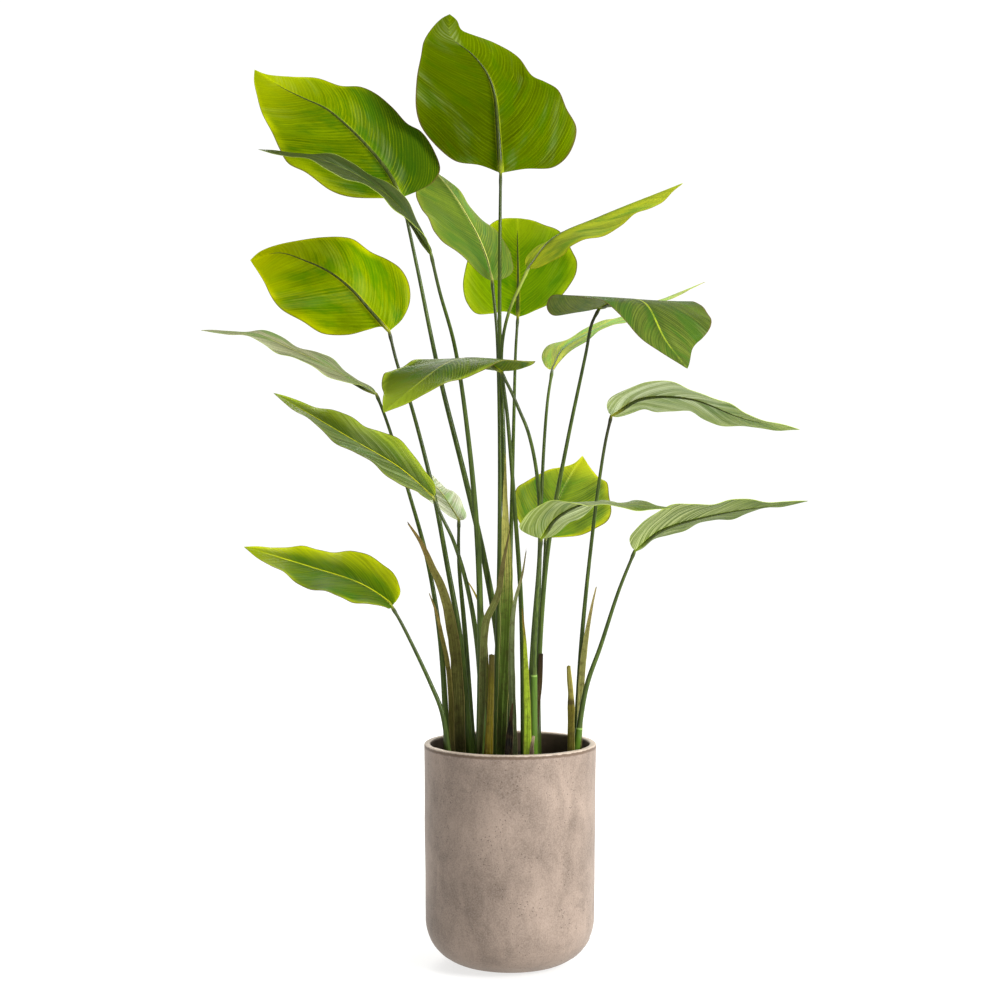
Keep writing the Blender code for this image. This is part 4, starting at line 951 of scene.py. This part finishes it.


# Each one: its points in millimetres from the top down, the foot's place in the soil, its width from the
# top down, its thickness, its colour at the foot (darkened there with painted shade among the stalks), along
# the strip and at the end, how far it is dry, and where a knot of an old leaf rings it.
SHEATHS = {
    "brown_sheath": dict(
        path=[(-128, -28, 563), (-114, -26, 542), (-98, -23, 507), (-84, -20, 474), (-73, -17, 423),
              (-67, -17, 366)], foot=(-64, -17), width=(2, 8, 12, 14, 15, 16, 16), thick=3.2,
        root=(0.070, 0.078, 0.016), body=(0.195, 0.182, 0.042), tip=(0.230, 0.150, 0.042)),
    "thin_sheath": dict(
        path=[(-102, -24, 474), (-94, -24, 453), (-86, -24, 419), (-80, -24, 391), (-76, -24, 355)],
        foot=(-73, -24), width=(1.2, 5, 6, 7, 7, 7), thick=2.6,
        root=(0.062, 0.060, 0.011), body=(0.150, 0.132, 0.025), tip=(0.265, 0.190, 0.052)),
    "olive_sheath": dict(
        path=[(-55, 2, 490), (-46, 3, 475), (-37, 4, 454), (-32, 5, 413)], foot=(-31, 6),
        width=(1.2, 5, 7, 7, 7), thick=2.6,
        root=(0.050, 0.070, 0.012), body=(0.170, 0.180, 0.028), tip=(0.560, 0.430, 0.035)),
    "bent_sheath": dict(
        path=[(-1, -40, 554), (-8, -48, 519), (-17, -58, 472), (-29, -63, 446), (-33, -65, 414),
              (-35, -66, 345)], foot=(-39, -66), width=(1.5, 6, 9, 9, 8, 7, 6), thick=2.6,
        root=(0.046, 0.064, 0.015), body=(0.127, 0.141, 0.034), tip=(0.216, 0.150, 0.056)),
    "cut_stub": dict(
        path=[(-23, -72, 402), (-24, -72, 358)], foot=(-28, -72), width=(7, 9, 12), thick=6.5,
        root=(0.116, 0.086, 0.003), body=(0.094, 0.081, 0.006), tip=(0.067, 0.057, 0.013)),
    "middle_sheath": dict(
        path=[(-6, -12, 649), (-6, -14, 568), (-4, -18, 492), (-5, -24, 416), (-9, -30, 341)],
        foot=(-12, -34), width=(1.5, 7, 14, 17, 15, 13, 12), thick=3.4,
        root=(0.044, 0.076, 0.008), body=(0.108, 0.168, 0.018), tip=(0.640, 0.590, 0.150), dry_to=0.46),
    "dark_sheath": dict(
        path=[(20, -46, 530), (15, -46, 500), (6, -46, 466), (2, -46, 418)], foot=(5, -46),
        width=(1.2, 5, 8, 9, 10), thick=3.0,
        root=(0.054, 0.080, 0.026), body=(0.182, 0.218, 0.084), tip=(0.275, 0.215, 0.084)),
    "lime_sheath": dict(
        path=[(15, -64, 457), (18, -64, 420), (21, -64, 345)], foot=(22, -64),
        width=(1.5, 6, 9, 12), thick=3.2,
        root=(0.185, 0.305, 0.014), body=(0.300, 0.395, 0.021), tip=(0.220, 0.110, 0.030)),
    # Nearly black all over: painted shade for a strip that stands deep among the stalks.
    "dark_spike": dict(
        path=[(3, -66, 341), (0, -66, 314)], foot=(-3, -66), width=(1.5, 9, 10), thick=3.0,
        root=(0.002, 0.001, 0.000), body=(0.003, 0.002, 0.000), tip=(0.060, 0.030, 0.008)),
    "small_stub": dict(
        path=[(29, -80, 302), (27, -80, 291)], foot=(26, -80), width=(3, 6, 7), thick=4.0,
        root=(0.080, 0.055, 0.030), body=(0.140, 0.100, 0.060), tip=(0.420, 0.330, 0.200)),
    "dark_stub": dict(
        path=[(39, -14, 397), (38, -14, 364), (34, -14, 323)], foot=(31, -14), width=(6, 7, 7, 6),
        thick=4.5, root=(0.030, 0.022, 0.008), body=(0.060, 0.042, 0.014), tip=(0.030, 0.020, 0.010)),
    "split_stub": dict(
        path=[(74, -28, 383), (77, -28, 340)], foot=(77, -28), width=(5, 7, 7, 9.5, 8.5, 9, 9, 9), thick=6.0,
        root=(0.079, 0.075, 0.007), body=(0.132, 0.110, 0.013), tip=(0.300, 0.270, 0.060), dry_to=0.44,
        knot=0.36),
    "tan_sheath": dict(
        path=[(110, 4, 480), (105, 4, 458), (99, 4, 426), (95, 4, 398), (91, 4, 349)], foot=(89, 4),
        width=(1.5, 5, 8, 8, 7, 5), thick=2.2,
        root=(0.135, 0.138, 0.030), body=(0.330, 0.325, 0.095), tip=(0.400, 0.300, 0.110)),
}

for number, (sheath_name, values) in enumerate(SHEATHS.items()):
    dry_finish = sheath_skin(sheath_name + "_skin", values, number * 1.9)
    strip = make_sheath(sheath_name + "_strip", values, dry_finish, number)
    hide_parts(sheath_name)


# Studio. A pale seamless floor that is lit from below, under a white sky that is darker behind the camera,
# a large soft light on the right, one behind the plant and a wide one above, which shine through leaves.

FLOOR_HALF = 9

floor_finish, paint = new_finish("studio_floor")
grain_of_floor = paint.cloud(0.4, 2, 0.5)
matt = paint.node("ShaderNodeBsdfPrincipled", None, {
    "Base Color": grain_of_floor.mix((0.29, 0.29, 0.288), (0.31, 0.31, 0.308)), "Roughness": 0.9,
    "Emission Color": (0.72, 0.72, 0.715, 1.0), "Emission Strength": 1.0})
paint.surface(matt)
floor_mesh = bpy.data.meshes.new("floor")
floor_corners = [(x * FLOOR_HALF, y * FLOOR_HALF, 0) for x, y in ((-1, -1), (1, -1), (1, 1), (-1, 1))]
floor_mesh.from_pydata(floor_corners, [], [(0, 1, 2, 3)])
floor_mesh.materials.append(floor_finish)
floor = new_object("floor", floor_mesh)

sky = bpy.data.worlds.new("studio")
sky.use_nodes = True
sky.node_tree.nodes.clear()
paint = Paint(sky.node_tree)
way = paint.node("ShaderNodeTexCoord", output="Generated")
front = (way.axis("Y") * -0.9 + way.axis("X") * -0.52).rise(0.0, 0.7) * way.axis("Z").rise(0.14, 0.32)
even = paint.node("ShaderNodeBackground", None, {
    "Color": front.mix((1.0, 1.0, 1.0), (0.045, 0.045, 0.045)), "Strength": 1.06})
paint.node("ShaderNodeOutputWorld", None, {"Surface": even})
bpy.context.scene.world = sky
bpy.context.scene.view_settings.view_transform = "Standard"


def soft_light(name, place, aim, size, power, color=(1.0, 1.0, 1.0)):
    lamp = bpy.data.lights.new(name, "AREA")
    lamp.shape = "SQUARE"
    lamp.size = size
    lamp.energy = power
    lamp.color = color
    made = new_object(name, lamp)
    made.location = place
    made.rotation_mode = "QUATERNION"
    made.rotation_quaternion = (Vector(aim) - Vector(place)).to_track_quat("-Z", "Y")


soft_light("right_light", (2.3, -1.7, 1.5), (0, 0, 0.5), 1.1, 112)
soft_light("back_light", (-0.6, 2.4, 2.2), (0, 0, 0.8), 1.4, 50, (1.0, 0.98, 0.92))

sun = bpy.data.lights.new("top_light", "SUN")
sun.energy = 1.3
sun.angle = math.radians(50)
top_light = new_object("top_light", sun)
top_light.rotation_euler = (math.radians(16), math.radians(32), 0)


# Camera. It stands at the photograph's distance and height, level but for a slight tilt down.

FOCAL_PIXELS = 2039
FRAME_PIXELS = 1000
TILT_PIXELS = 63
SENSOR_WIDTH = 36.0

lens = bpy.data.cameras.new("camera")
lens.sensor_width = SENSOR_WIDTH
lens.lens = FOCAL_PIXELS / FRAME_PIXELS * SENSOR_WIDTH
camera = new_object("camera", lens)
camera.location = (-0.0128, -2.6, 0.673)
camera.rotation_euler = (math.pi / 2 - math.atan(TILT_PIXELS / FOCAL_PIXELS), 0, 0)
bpy.context.scene.camera = camera
